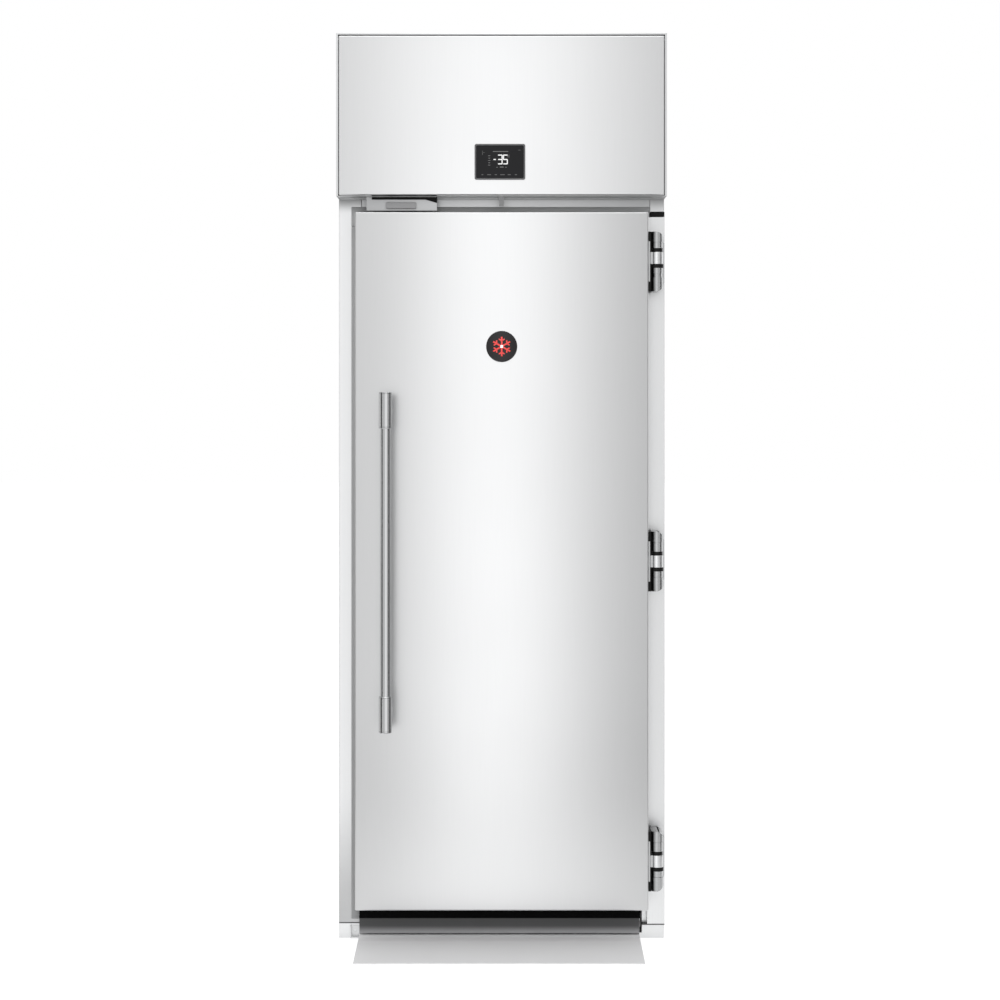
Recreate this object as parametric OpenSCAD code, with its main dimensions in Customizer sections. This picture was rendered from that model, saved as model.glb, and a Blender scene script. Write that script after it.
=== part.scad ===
// Roll-in blast chiller: insulated cell, hinged door, entry ramp and roof-mounted condensing unit.
// Millimetres. +Z is up, the door faces -Y, and the origin is at the centre of the footprint on the floor.

/* [Cabinet] */
// Outside width of the cell and of the cowl
body_w = 850; // [830:1:960]
// Height to the top of the top cover
body_h = 2350; // [2300:1:2500]
// Depth of the cell, from the front frame to the back of the rear wall
body_d = 1050; // [1020:1:1300]
// Height of the cell, which is the underside of the cowl
cell_h = 1931; // [1922:1:1960]
// Thickness of the insulated side and rear walls
wall_t = 75; // [70:1:90]
// Thickness of the roof panel
roof_t = 71; // [65:1:85]
// Height of the base beams under the walls and jambs
floor_t = 40; // [30:1:48]
// Thickness of the floor plate between the beams, which trolleys roll on
plate_t = 15; // [10:1:18]
// Thickness of the steel skins of the panels
skin_t = 1; // [0.8:0.1:1.5]
// Distance from the base beams up to the lower bumper rails
bumper_low = 220; // [150:1:300]
// Distance from the base beams up to the upper bumper rails
bumper_high = 780; // [600:1:900]

/* [Front frame] */
// Depth of the jambs and of the header
frame_d = 60; // [50:1:75]
// Width of the face of each jamb
jamb_w = 59; // [54:1:64]
// Thickness of the flange of the door surround
surround_t = 8; // [5:0.5:10]
// Distance from the side of the cell to the outer edge of the surround
surround_inset = 33; // [24:1:40]
// Distance from the top of the cell to the top edge of the surround
surround_drop = 20; // [16:1:24]
// Gap under the bars of the surround, above the base beams
surround_lift = 12; // [8:1:16]
// Width of the cover on the hinge post
post_w = 37; // [36:1:42]
// How far the cover on the hinge post stands out from the frame
post_out = 20; // [16:0.5:24]
// Width of the lip of that cover, which laps over the door surround
post_lip = 7; // [5:0.5:8]
// Height of the rubber strip on top of the hinge post cover
post_seal_h = 14; // [10:1:18]
// Distance from the top of the cell to the top of the hinge post cover
post_drop = 47; // [44:1:60]

/* [Door] */
// Distance from the left side of the cell to the opening edge of the door
door_inset = 48; // [44:1:52]
// Height of the bottom edge of the door
door_z = 94; // [88:1:110]
// Distance from the top of the cell to the top edge of the door
door_drop = 40; // [34:1:46]
// Thickness of the door slab
door_t = 90; // [80:1:100]
// Thickness of the outer steel skin of the door
door_skin_t = 1.5; // [1:0.1:2]
// Depth of the rim of the inner liner
liner_rim = 12; // [8:1:16]
// How far the middle of the inner liner stands out behind the door
plug_out = 14; // [8:1:17]
// Distance from the edge of the door to the raised middle of the liner
plug_inset = 45; // [42:1:60]
// Thickness of the inner liner
liner_t = 1.2; // [1:0.1:2]
// Thickness of the magnetic gasket, which is the gap between door and surround
gasket_t = 12; // [8:0.5:14]
// Width of the magnetic gasket
gasket_w = 20; // [14:1:24]
// Distance from the edge of the door to the gasket
gasket_inset = 3; // [2:0.5:5]
// Height of the lower edge of the sweep, which hangs just above the ramp
sweep_z = 18.5; // [17.5:0.5:24]
// Height of the lower edge of the black carrier that holds the blade of the sweep
carrier_z = 58; // [52:1:66]
// Thickness of that carrier
carrier_t = 12; // [9:0.5:16]
// Thickness of the blade of the sweep
sweep_t = 4; // [3:0.5:6]
// Diameter of the round badge
badge_d = 80; // [60:1:100]
// Distance from the top edge of the door to the middle of the badge
badge_drop = 346; // [200:1:500]
// How far the dome of the badge stands out
badge_out = 7; // [4:0.5:10]

/* [Handle] */
// Diameter of the handle tube
handle_d = 27; // [22:1:32]
// Overall length of the handle
handle_l = 868; // [700:1:1000]
// Height of the lower end of the handle
handle_z = 560; // [480:1:640]
// Distance from the left edge of the door to the middle of the handle
handle_inset = 81; // [60:1:120]
// Distance from the face of the door to the middle of the handle tube
handle_out = 60; // [50:1:75]
// Diameter of the collars at the ends of the handle
collar_d = 33; // [31:0.5:38]
// Length of the collars
collar_l = 93; // [60:1:120]
// Diameter of the posts that carry the handle
handle_post_d = 20; // [12:1:22]

/* [Hinges] */
// Distance from the bottom edge of the door to the middle of the lowest hinge
hinge_end = 125; // [100:1:250]
// Distance from the top edge of the door to the middle of the highest hinge
hinge_top_end = 127; // [100:1:250]
// Height of one hinge
hinge_h = 154; // [146:1:180]
// Distance from the side of the cell to the axis of the hinges
hinge_inset = 23; // [22:0.5:26]
// Distance from the face of the door back to the axis of the hinges
hinge_back = 20; // [18:0.5:28]
// Radius of the knuckles
knuckle_r = 15.5; // [13:0.1:15.6]
// Radius of the hinge pin
pin_r = 7; // [5:0.1:8]
// Running clearance of the pins and shafts in their bores
pin_gap = 0.05; // [0.02:0.01:0.08]
// Height of the middle knuckle, which is the one on the door
mid_h = 31; // [24:1:36]
// Height of the black bush above and below the middle knuckle
bush_h = 10; // [9:0.5:12]
// How far the door rises on its cams when it is fully open
door_rise = 8; // [5:0.5:8]
// Height of the cap at the upper end of a hinge
cap_up_h = 27; // [22:1:32]
// Height of the cap at the lower end of a hinge
cap_low_h = 36; // [24:1:38]
// Radius of the rounded corner of both caps
cap_corner = 20; // [12:0.5:21]

/* [Cowl and casings] */
// How far the cowl stands out in front of the frame
cowl_out = 118; // [114:1:140]
// Thickness of the sheet of the casings
casing_t = 1.5; // [1:0.1:2]
// Width of the front return of the side casings
casing_return = 5; // [4:0.5:8]
// Thickness of the top cover
top_t = 4; // [3:0.5:6]
// Gap between the front panel of the cowl and the top cover
cowl_gap = 1; // [0.8:0.1:2]
// Distance from the top of the cell up to the lower edge of the cowl's front panel
cowl_low = 4; // [3:0.5:8]
// Gap between the front panel of the cowl and each side casing
cowl_side_gap = 0.4; // [0.3:0.1:2]
// Depth of the folded edges of the cowl's front panel
cowl_fold = 22; // [18:1:28]
// Distance from the top edge of the front panel down to its hinge axis
cowl_pin_drop = 10; // [8:0.5:14]
// Radius of the pins that the front panel of the cowl turns on
cowl_pin_r = 3; // [2:0.1:4]
// Width of the display
display_w = 130; // [110:1:150]
// Height of the display
display_h = 92; // [80:1:110]
// Distance from the underside of the cowl to the middle of the display
display_up = 88; // [70:1:200]
// How far the display sits to the left of the middle
display_shift = 4; // [0:0.5:8]
// Width of the bezel round the glass
bezel_w = 4; // [3:0.5:6]
// How far the bezel stands out from the cowl
bezel_out = 3; // [2:0.5:5]

/* [Ramp] */
// Length of the ramp in front of the frame
ramp_l = 300; // [240:1:400]
// Width of the ramp
ramp_w = 730; // [660:1:760]
// Thickness of the nose of the ramp
ramp_nose = 3; // [2.5:0.5:6]
// Thickness of the plate of the ramp
ramp_plate = 2.5; // [1.5:0.1:4]
// How far the ramp sits to the left of the middle
ramp_shift = 6; // [0:1:10]

/* [Air circulation] */
// Diameter of the fan wheels in the cell
fan_d = 300; // [240:1:330]
// Distance between the middles of the fans
fan_pitch = 520; // [460:1:560]
// Distance from the rear wall to the fan panel
plenum_d = 260; // [240:1:300]
// Gap between a fan wheel and its ring
fan_gap = 8; // [5:0.5:12]
// Number of blades of a fan wheel
blade_n = 5; // [4:1:7]
// Radius of the fan shafts
shaft_r = 6; // [4:0.5:8]
// Radius of the drain pipe
drain_r = 14; // [10:0.5:18]
// How far the drain pipe stands out behind the rear wall
drain_out = 40; // [30:1:60]

/* [Condensing unit] */
// Radius of the can of the compressor
compressor_r = 95; // [80:1:105]
// Height of the can of the compressor
compressor_h = 270; // [220:1:300]
// Width and height of the condenser coil
condenser_w = 360; // [330:1:370]
// Distance from the right side of the cell to the condenser coil
condenser_side = 75; // [40:1:80]
// Distance from the left side of the cell to the middle of the compressor
compressor_side = 275; // [250:1:290]
// Diameter of the condenser fan wheel
condenser_fan_d = 300; // [240:1:305]
// Radius of the liquid receiver
receiver_r = 60; // [45:1:65]
// Radius of the bore of the mains gland
gland_r = 6.5; // [4:0.5:8]

/* [Hidden] */
$fn = 64;
eps = 1;

// Gap at the corners of bars that are cut to length and butt together
butt_gap = 0.2;

// Places that follow from the sizes above. f is the front of the frame, and b is the back of the rear wall.
total_d = ramp_l + body_d + drain_out;
f = ramp_l - total_d / 2;
b = f + body_d;
half_w = body_w / 2;
inner_x = half_w - wall_t;
jamb_x = half_w - jamb_w;
ceiling_z = cell_h - roof_t;
header_z = ceiling_z + wall_t - jamb_w;
inner_y = f + frame_d;
inner_back = b - wall_t;
post_x = half_w - post_w;
post_top = cell_h - post_drop;

// The door hangs from the hinge axis, and its gasket closes on the surround
door_back = f - surround_t - gasket_t;
door_face = door_back - door_t;
hinge_x = half_w - hinge_inset;
hinge_y = door_face + hinge_back;
leaf_gap = 16;
leaf_t = 5;
leaf_cover_t = 3;
leaf_end_h = 25;
door_right = hinge_x - leaf_gap - leaf_t - leaf_cover_t;
door_left = door_inset - half_w;
door_w = door_right - door_left;
door_top = cell_h - door_drop;
door_h = door_top - door_z;
door_mid = (door_left + door_right) / 2;
badge_z = door_top - badge_drop;
low_hinge_z = door_z + hinge_end;
high_hinge_z = door_top - hinge_top_end;
hinge_z = [low_hinge_z, (low_hinge_z + high_hinge_z) / 2, high_hinge_z];
handle_x = door_left + handle_inset;
handle_y = door_face - handle_out;

cowl_face = f - cowl_out;
front_x = half_w - casing_return;
cowl_top = body_h - top_t - 2 * cowl_gap;
cowl_axis_y = cowl_face + 5;
cowl_axis_z = cowl_top - cowl_pin_drop;
unit_z = cell_h;
display_x = -display_shift;
display_z = cell_h + display_up;

fan_y = inner_back - plenum_d;
fan_mid_z = (floor_t + ceiling_z) / 2;
fan_z = [for (i = [-1:1]) fan_mid_z + i * fan_pitch];
blade_depth = 35;
hub_r = 35;
hub_y = 10;
motor_y = 55;
motor_l = 60;
coil_y = fan_y + 130;
coil_d = 100;
tray_z = floor_t + 25;
tray_h = 40;
drain_z = tray_z + drain_r + 4;

condenser_x = half_w - condenser_side - condenser_w / 2;
condenser_y = b - 120;
condenser_fan_y = condenser_y - 120;
condenser_z = unit_z + 10 + condenser_w / 2;
compressor_x = compressor_side - half_w;
compressor_y = inner_y + 560;
foot_h = 25;
receiver_x = receiver_r + 35 - half_w;
receiver_y = inner_back - 115;
gland_x = 95 - half_w;
gland_z = unit_z + 80;
rear_line = b - casing_t;

// The plate of the door switch and the slot in front of it, from the left side of the cell
switch_left = 75 - half_w;
switch_l = 183;
switch_right = switch_left + switch_l;
switch_y = f - 62;
soffit_t = 2;
soffit_z = cell_h + cowl_low - soffit_t;

// A block given by its lowest and highest corners
module block(low, high) {
    translate(low) cube(high - low);
}

// A round bar along Y from y0 to y1
module bar_y(x, z, r, y0, y1) {
    translate([x, y0, z]) rotate([-90, 0, 0]) cylinder(r = r, h = y1 - y0);
}

// A round bar along X from x0 to x1
module bar_x(y, z, r, x0, x1) {
    translate([x0, y, z]) rotate([0, 90, 0]) cylinder(r = r, h = x1 - x0);
}

// A round bar along Z from z0 to z1
module bar_z(x, y, r, z0, z1) {
    translate([x, y, z0]) cylinder(r = r, h = z1 - z0);
}

// A flat shape in X and Z given by a polygon, from y0 back to y1
module plate_xz(points, y0, y1) {
    translate([0, y1, 0]) rotate([90, 0, 0]) linear_extrude(y1 - y0) polygon(points);
}

// A rectangle with round corners, centred
module round_rect(w, h, r) {
    square([w - 2 * r, h], center = true);
    square([w, h - 2 * r], center = true);
    for (x = [-1, 1], y = [-1, 1]) translate([x * (w / 2 - r), y * (h / 2 - r)]) circle(r);
}

// The same rectangle standing upright as a plate from y0 back to y1
module round_plate(x, z, w, h, r, y0, y1) {
    translate([x, y1, z]) rotate([90, 0, 0]) linear_extrude(y1 - y0) round_rect(w, h, r);
}

// A sandwich panel's steel skin, closed all round its foam
module panel_skin(low, high) {
    wall = [skin_t, skin_t, skin_t];
    difference() {
        block(low, high);
        block(low + wall, high - wall);
    }
}

// The foam that fills such a skin
module panel_fill(low, high) {
    wall = [skin_t, skin_t, skin_t];
    block(low + wall, high - wall);
}

// Corners of the insulated panels
left_low = [-half_w, inner_y, floor_t];
left_high = [-inner_x, inner_back, cell_h];
right_low = [inner_x, inner_y, floor_t];
right_high = [half_w, inner_back, cell_h];
rear_low = [-half_w, inner_back, floor_t];
rear_high = [half_w, b, cell_h];
roof_low = [-inner_x, inner_y, ceiling_z];
roof_high = [inner_x, inner_back, cell_h];
header_low = [-jamb_x, f, header_z];
header_high = [post_x, inner_y, cell_h];
jamb_low = [-half_w, f, floor_t];
jamb_high = [-jamb_x, inner_y, cell_h];

// The hole through the rear wall for the drain, with its steel liner
module drain_hole(extra) {
    bar_y(0, drain_z, drain_r + extra, inner_back - eps, b + eps);
}

// The base: a floor plate between higher beams on three sides and a block under each jamb
module floor_shape(inset) {
    wall = [inset, inset, inset];
    block([-half_w, f, 0] + wall, [half_w, b, plate_t] - wall);
    block([-half_w, inner_back, 0] + wall, [half_w, b, floor_t] - wall);
    block([-half_w, inner_y, 0] + wall, [-inner_x, b, floor_t] - wall);
    block([inner_x, inner_y, 0] + wall, [half_w, b, floor_t] - wall);
    block([-half_w, f, 0] + wall, [-jamb_x, inner_y + 10, floor_t] - wall);
    block([jamb_x, f, 0] + wall, [half_w, inner_y + 10, floor_t] - wall);
}

module floor_panel() {
    color("silver") difference() {
        floor_shape(0);
        floor_shape(skin_t);
    }
}

module left_wall() {
    color("gainsboro") panel_skin(left_low, left_high);
}

module right_wall() {
    color("gainsboro") panel_skin(right_low, right_high);
}

module rear_wall() {
    color("gainsboro") difference() {
        union() {
            panel_skin(rear_low, rear_high);
            intersection() {
                drain_hole(1 + skin_t);
                block(rear_low, rear_high);
            }
        }
        drain_hole(1);
    }
}

module roof_panel() {
    color("gainsboro") panel_skin(roof_low, roof_high);
}

module panel_foam() {
    color("khaki") {
        floor_shape(skin_t);
        panel_fill(left_low, left_high);
        panel_fill(right_low, right_high);
        panel_fill(roof_low, roof_high);
        panel_fill(header_low, header_high);
        panel_fill(jamb_low, jamb_high);
        right_jamb_shape(skin_t);
        difference() {
            panel_fill(rear_low, rear_high);
            drain_hole(1 + skin_t);
        }
    }
}

module header_panel() {
    color("silver") panel_skin(header_low, header_high);
}

module left_jamb() {
    color("silver") panel_skin(jamb_low, jamb_high);
}

// The right jamb is narrower above the doorway, where the header runs on to the hinge post
module right_jamb_shape(inset) {
    inset_low = [inset, inset, inset];
    block([jamb_x, f, floor_t] + inset_low, [half_w, inner_y, header_z] - inset_low);
    block([post_x, f, floor_t] + inset_low, [half_w, inner_y, cell_h] - inset_low);
}

module right_jamb() {
    color("silver") difference() {
        right_jamb_shape(0);
        right_jamb_shape(skin_t);
    }
}

// Angle-shaped bars round the doorway. The flange faces the gasket and the leg lines the reveal
module door_surround() {
    left_edge = half_w - surround_inset;
    right_edge = post_x - 2;
    top_edge = cell_h - surround_drop;
    low = floor_t + surround_lift;
    side_top = ceiling_z - butt_gap;
    color("dimgray") {
        block([-left_edge, f - surround_t, low], [-inner_x, f, side_top]);
        block([-jamb_x, f - eps, low], [-inner_x, inner_y, side_top]);
        block([inner_x, f - surround_t, low], [right_edge, f, side_top]);
        block([inner_x, f - eps, low], [jamb_x, inner_y, side_top]);
        block([-left_edge, f - surround_t, ceiling_z], [right_edge, f, top_edge]);
        block([-jamb_x, f - eps, ceiling_z], [jamb_x, inner_y, header_z]);
    }
}

module hinge_post() {
    lip_y = f - surround_t - 0.5;
    color("silver") difference() {
        union() {
            block([post_x, f - post_out, floor_t], [half_w, f, post_top]);
            block([post_x - post_lip, lip_y - 1.5, floor_t], [post_x + eps, lip_y, post_top]);
        }
        block([post_x + 2, f - post_out + 2, floor_t - eps], [half_w - 2, f + eps, post_top - 2]);
    }
}

module post_end_seal() {
    color("black") block([post_x, f - post_out, post_top], [half_w, f, post_top + post_seal_h]);
}

// A folded wedge: tread plate, two cheeks and three ribs under it
module ramp() {
    ramp_left = -ramp_w / 2 - ramp_shift;
    slope = (plate_t - ramp_nose) / ramp_l;
    nose_l = 45;
    under = [[f - ramp_l + nose_l, -eps], [f - ramp_l + nose_l, ramp_nose + nose_l * slope - ramp_plate],
        [f - ramp_plate, plate_t - ramp_plate - ramp_plate * slope], [f - ramp_plate, -eps]];
    bays = 4;
    rib = ramp_plate;
    bay_w = (ramp_w - (bays + 1) * rib) / bays;
    color("silver") difference() {
        translate([ramp_left, 0, 0]) rotate([90, 0, 90]) linear_extrude(ramp_w)
            polygon([[f - ramp_l, 0], [f - ramp_l, ramp_nose], [f, plate_t], [f, 0]]);
        for (i = [0:bays - 1])
            translate([ramp_left + rib + i * (bay_w + rib), 0, 0]) rotate([90, 0, 90])
                linear_extrude(bay_w) polygon(under);
    }
}

// Small angle that holds the ramp to the base at its left end
module ramp_lug() {
    lug_w = 24;
    lug_h = min(34, floor_t - 4);
    lug_t = 3;
    x = -ramp_w / 2 - ramp_shift - lug_w;
    color("gray") difference() {
        block([x, f - 16, 3], [x + lug_w, f, lug_h]);
        block([x + lug_t, f - 16 - eps, 3 + lug_t], [x + lug_w + eps, f - lug_t, lug_h + eps]);
        bar_y(x + lug_w / 2, lug_h * 0.6, 2.5, f - 16, f + eps);
    }
}

// Steel strips on short feet that keep a trolley off the side walls
module bumper_rails() {
    rail_h = 60;
    rail_out = 22;
    rail_z = [floor_t + bumper_low, floor_t + bumper_high];
    rail_y0 = inner_y + 40;
    rail_y1 = fan_y - 30;
    color("silver") for (side = [-1, 1], z = rail_z) {
        x0 = side > 0 ? inner_x - rail_out : -inner_x;
        difference() {
            block([x0, rail_y0, z], [x0 + rail_out, rail_y1, z + rail_h]);
            block([side > 0 ? x0 + 2 : x0 - eps, rail_y0 + 30, z - eps],
                [side > 0 ? x0 + rail_out + eps : x0 + rail_out - 2, rail_y1 - 30, z + rail_h + eps]);
        }
    }
}

// The sheet in front of the coil, with a ring for each fan
module fan_panel() {
    panel_low = floor_t + 110;
    panel_high = ceiling_z - 110;
    ring_r = fan_d / 2 + fan_gap;
    ring_l = motor_y + 12;
    color("silver") difference() {
        union() {
            block([-inner_x, fan_y, panel_low], [inner_x, fan_y + 2, panel_high]);
            for (x = [-inner_x, inner_x - 2]) block([x, fan_y, panel_low], [x + 2, fan_y + 30, panel_high]);
            for (z = fan_z) bar_y(0, z, ring_r + 2, fan_y, fan_y + ring_l);
        }
        for (z = fan_z) bar_y(0, z, ring_r, fan_y - eps, fan_y + ring_l + eps);
    }
}

// Guards in front of the fans: flat rings welded to four bars that stand off the panel
module fan_guards() {
    strip = 3;
    guard_y = fan_y - 12;
    guard_r = fan_d / 2 + fan_gap + 12;
    rings = 7;
    color("lightgray") for (z = fan_z) {
        for (i = [1:rings]) difference() {
            bar_y(0, z, guard_r * i / rings + strip / 2, guard_y - strip, guard_y);
            bar_y(0, z, guard_r * i / rings - strip / 2, guard_y - strip - eps, guard_y + eps);
        }
        for (a = [45, 135]) translate([0, guard_y, z]) rotate([0, a, 0]) {
            translate([-strip / 2, 0, -guard_r]) cube([strip, strip, 2 * guard_r]);
            for (s = [-1, 1]) translate([-strip / 2, 0, s * guard_r - strip / 2])
                cube([strip, fan_y - guard_y, strip]);
        }
    }
}

// One fan motor on three flat arms. Its mouth faces -Y at y0
module fan_motor(x, y0, z, arm_r) {
    difference() {
        union() {
            bar_y(x, z, 42, y0, y0 + motor_l);
            bar_y(x, z, 48, y0 + 8, y0 + motor_l - 12);
            intersection() {
                for (a = [0:120:240]) translate([x, y0, z]) rotate([0, a, 0])
                    translate([-8, 2, 0]) cube([16, 4, arm_r]);
                bar_y(x, z, arm_r, y0, y0 + motor_l);
            }
        }
        bar_y(x, z, shaft_r + pin_gap, y0 - eps, y0 + 36);
    }
}

module fan_motors() {
    color("dimgray") {
        for (z = fan_z) fan_motor(0, fan_y + motor_y, z, fan_d / 2 + fan_gap);
        fan_motor(condenser_x, condenser_fan_y + motor_y, condenser_z, condenser_fan_d / 2 + fan_gap);
    }
}

// One fan wheel: hub, pitched blades and the shaft that runs in the motor. The panel is at y0
module fan_wheel(x, y0, z, d, n) {
    pitch = 32;
    bar_y(x, z, hub_r, y0 + hub_y, y0 + motor_y - 5);
    bar_y(x, z, shaft_r, y0 + hub_y, y0 + motor_y + 32);
    intersection() {
        for (i = [0:n - 1]) translate([x, y0 + hub_y + 20, z]) rotate([0, i * 360 / n, 0])
            rotate([0, 0, pitch]) translate([-32, -1.25, hub_r - 6]) cube([64, 2.5, d / 2]);
        bar_y(x, z, d / 2, y0 + 2, y0 + motor_y);
    }
}

module fan_1() {
    color("slategray") fan_wheel(0, fan_y, fan_z[0], fan_d, blade_n);
}

module fan_2() {
    color("slategray") fan_wheel(0, fan_y, fan_z[1], fan_d, blade_n);
}

module fan_3() {
    color("slategray") fan_wheel(0, fan_y, fan_z[2], fan_d, blade_n);
}

// Fin pack between end plates, with the return bends of the tubes outside them
module evaporator_coil() {
    coil_low = tray_z + tray_h + 20;
    coil_high = ceiling_z - 60;
    end_x = inner_x - 60;
    bend_n = 12;
    bend_pitch = (coil_high - coil_low) / bend_n;
    color("lightsteelblue") {
        block([-end_x + 3, coil_y + 6, coil_low + 6], [end_x - 3, coil_y + coil_d - 6, coil_high - 6]);
        for (x = [-end_x, end_x - 3]) block([x, coil_y, coil_low], [x + 3, coil_y + coil_d, coil_high]);
        for (side = [-1, 1], i = [0:bend_n - 1]) translate([side * (end_x - 1), coil_y + coil_d / 2,
            coil_low + bend_pitch * (i + 0.5)]) rotate([0, 90, 0]) rotate([0, 0, 90]) intersection() {
                rotate([90, 0, 0]) rotate_extrude() translate([24, 0]) circle(6, $fn = 24);
                translate([-40, -10, side > 0 ? 0 : -40]) cube([80, 20, 40]);
            }
    }
}

module drip_tray() {
    tray_x = inner_x - 20;
    color("silver") difference() {
        block([-tray_x, fan_y + 40, tray_z], [tray_x, inner_back, tray_z + tray_h]);
        block([-tray_x + 1.5, fan_y + 41.5, tray_z + 1.5],
            [tray_x - 1.5, inner_back - 1.5, tray_z + tray_h + eps]);
        bar_y(0, drain_z, drain_r, inner_back - 2, inner_back + eps);
    }
}

// Pipe from the drip tray through the rear wall, with a rosette on the outside
module drain_pipe() {
    color("gray") difference() {
        union() {
            bar_y(0, drain_z, drain_r, inner_back - 1.5, b + drain_out);
            bar_y(0, drain_z, drain_r + 10, b, b + 6);
        }
        bar_y(0, drain_z, drain_r - 2, inner_back - 3, b + drain_out + eps);
    }
}

// Socket for the core probe on the left wall
module probe_socket() {
    socket_y = inner_y + 380;
    socket_z = 1500;
    flange = 70;
    color("black") difference() {
        union() {
            translate([-inner_x, socket_y, socket_z]) rotate([0, 90, 0])
                linear_extrude(8) round_rect(flange, flange, 8);
            bar_x(socket_y, socket_z, 16, -inner_x, -inner_x + 20);
        }
        bar_x(socket_y, socket_z, 9, -inner_x + 2, -inner_x + 21);
    }
}

// Side casing: a sheet with a folded front edge and slots towards the rear
module side_casing(side) {
    outer = half_w;
    x0 = side > 0 ? outer - casing_t : -outer;
    r0 = side > 0 ? front_x : -outer;
    slot_n = 14;
    slot_pitch = (body_h - unit_z - 167) / slot_n;
    color("silver") difference() {
        union() {
            block([x0, cowl_face, unit_z], [x0 + casing_t, b, body_h - top_t]);
            block([r0, cowl_face, unit_z], [r0 + casing_return, cowl_face + 3, body_h - top_t]);
        }
        for (i = [0:slot_n - 1]) block([x0 - eps, b - 420, unit_z + 90 + i * slot_pitch],
            [x0 + casing_t + eps, b - 140, unit_z + 90 + (i + 0.4) * slot_pitch]);
        bar_x(cowl_axis_y, cowl_axis_z, cowl_pin_r, side * (outer - 3 * casing_t) - casing_t * 3,
            side * (outer - 3 * casing_t) + casing_t * 3);
    }
}

module left_casing() {
    side_casing(-1);
}

module right_casing() {
    side_casing(1);
}

// Flat lid with a folded rim that drops inside the casings at the rear
module top_cover() {
    color("silver") {
        block([-half_w, cowl_face, body_h - top_t], [half_w, b, body_h]);
        block([-front_x, cowl_face + 30, body_h - top_t - 12], [front_x, cowl_face + 32, body_h - top_t]);
    }
}

module rear_grille() {
    slot_n = 22;
    slot_w = condenser_w - 40;
    slot_pitch = (condenser_w - 30) / slot_n;
    color("silver") difference() {
        block([-half_w + casing_t, b - casing_t, unit_z], [half_w - casing_t, b, body_h - top_t]);
        for (i = [0:slot_n - 1])
            block([condenser_x - slot_w / 2, b - 2 * casing_t, unit_z + 35 + i * slot_pitch],
                [condenser_x + slot_w / 2, b + eps, unit_z + 35 + (i + 0.45) * slot_pitch]);
        bar_y(gland_x, gland_z, 10, b - 2 * casing_t, b + eps);
    }
}

// Fixed sheet under the cowl, folded down on the header, with a notch for the door switch cable
module cowl_soffit() {
    side = half_w - casing_t;
    color("gray") difference() {
        union() {
            block([-side, cowl_face + cowl_fold + 2, soffit_z], [side, f, soffit_z + soffit_t]);
            block([-side, f - soffit_t, cell_h], [side, f, soffit_z + eps]);
        }
        block([switch_left + 14, cowl_face + cowl_fold, soffit_z - eps],
            [switch_right, switch_y, soffit_z + 3]);
    }
}

// Plate under the cowl that carries the door switch, hung from the soffit at its left end
module switch_bracket() {
    low = cell_h - 32;
    top = cell_h - 4.5;
    color("silver") {
        plate_xz([[switch_left, low], [switch_right, low], [switch_right, top - 9], [switch_right - 30, top],
            [switch_left, top]], switch_y, switch_y + 2);
        block([switch_left, switch_y, top - 2], [switch_left + 14, switch_y + 2, soffit_z]);
        block([switch_left, switch_y, soffit_z - 2], [switch_left + 14, switch_y + 10, soffit_z]);
    }
}

// The switch, and behind its plate the black duct of its cable
module door_switch() {
    color("gray") round_plate(switch_left + 90, cell_h - 22, 78, 20, 3, switch_y - 13, switch_y);
    color("black") block([switch_left + 14, switch_y + 2, cell_h - 16], [switch_right, switch_y + 8, soffit_z]);
}

// Small plate with two rivets that the front panel of the cowl is held to
module cowl_catch() {
    catch_y = cowl_face + cowl_fold + 6;
    color("silver") {
        block([-6, catch_y, cell_h - 24], [6, catch_y + 2, soffit_z]);
        block([-6, catch_y, soffit_z - 2], [6, catch_y + 22, soffit_z]);
    }
    for (z = [8, 17]) color("black") bar_y(0, cell_h - z, 2, catch_y - 1, catch_y);
}

// Short pins on the side casings that the front panel of the cowl turns on
module cowl_pins() {
    color("silver") for (side = [-1, 1]) {
        x = side * (front_x - 12);
        bar_x(cowl_axis_y, cowl_axis_z, cowl_pin_r, side > 0 ? x : -half_w, side > 0 ? half_w : x);
    }
}

// Folded front panel of the cowl: a shallow tray, open at the back
module cowl_front() {
    x = front_x - cowl_side_gap;
    low = cell_h + cowl_low;
    color("whitesmoke") difference() {
        block([-x, cowl_face, low], [x, cowl_face + cowl_fold, cowl_top]);
        block([-x + casing_t, cowl_face + casing_t, low + casing_t],
            [x - casing_t, cowl_face + cowl_fold + eps, cowl_top - casing_t]);
        block([-x + casing_t, cowl_face + 12, cowl_top - casing_t - eps],
            [x - casing_t, cowl_face + cowl_fold + eps, cowl_top + eps]);
        bar_x(cowl_axis_y, cowl_axis_z, cowl_pin_r + pin_gap, -half_w, half_w);
        block([display_x - display_w / 2 + 18, cowl_face - eps, display_z - display_h / 2 + 18],
            [display_x + display_w / 2 - 18, cowl_face + 3, display_z + display_h / 2 - 18]);
        for (sx = [-1, 1]) block([sx > 0 ? x - casing_t - eps : -x - eps, cowl_face + 11, cowl_top - 24],
            [sx > 0 ? x + eps : -x + casing_t + eps, cowl_face + cowl_fold + eps, cowl_top + eps]);
    }
}

module display_bezel() {
    color("dimgray") difference() {
        round_plate(display_x, display_z, display_w, display_h, 5, cowl_face - bezel_out, cowl_face);
        round_plate(display_x, display_z, display_w - 2 * bezel_w, display_h - 2 * bezel_w, 3,
            cowl_face - bezel_out - eps, cowl_face + eps);
    }
}

module display_glass() {
    color("black") round_plate(display_x, display_z, display_w - 2 * bezel_w, display_h - 2 * bezel_w, 3,
        cowl_face - bezel_out + 0.8, cowl_face);
}

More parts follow.
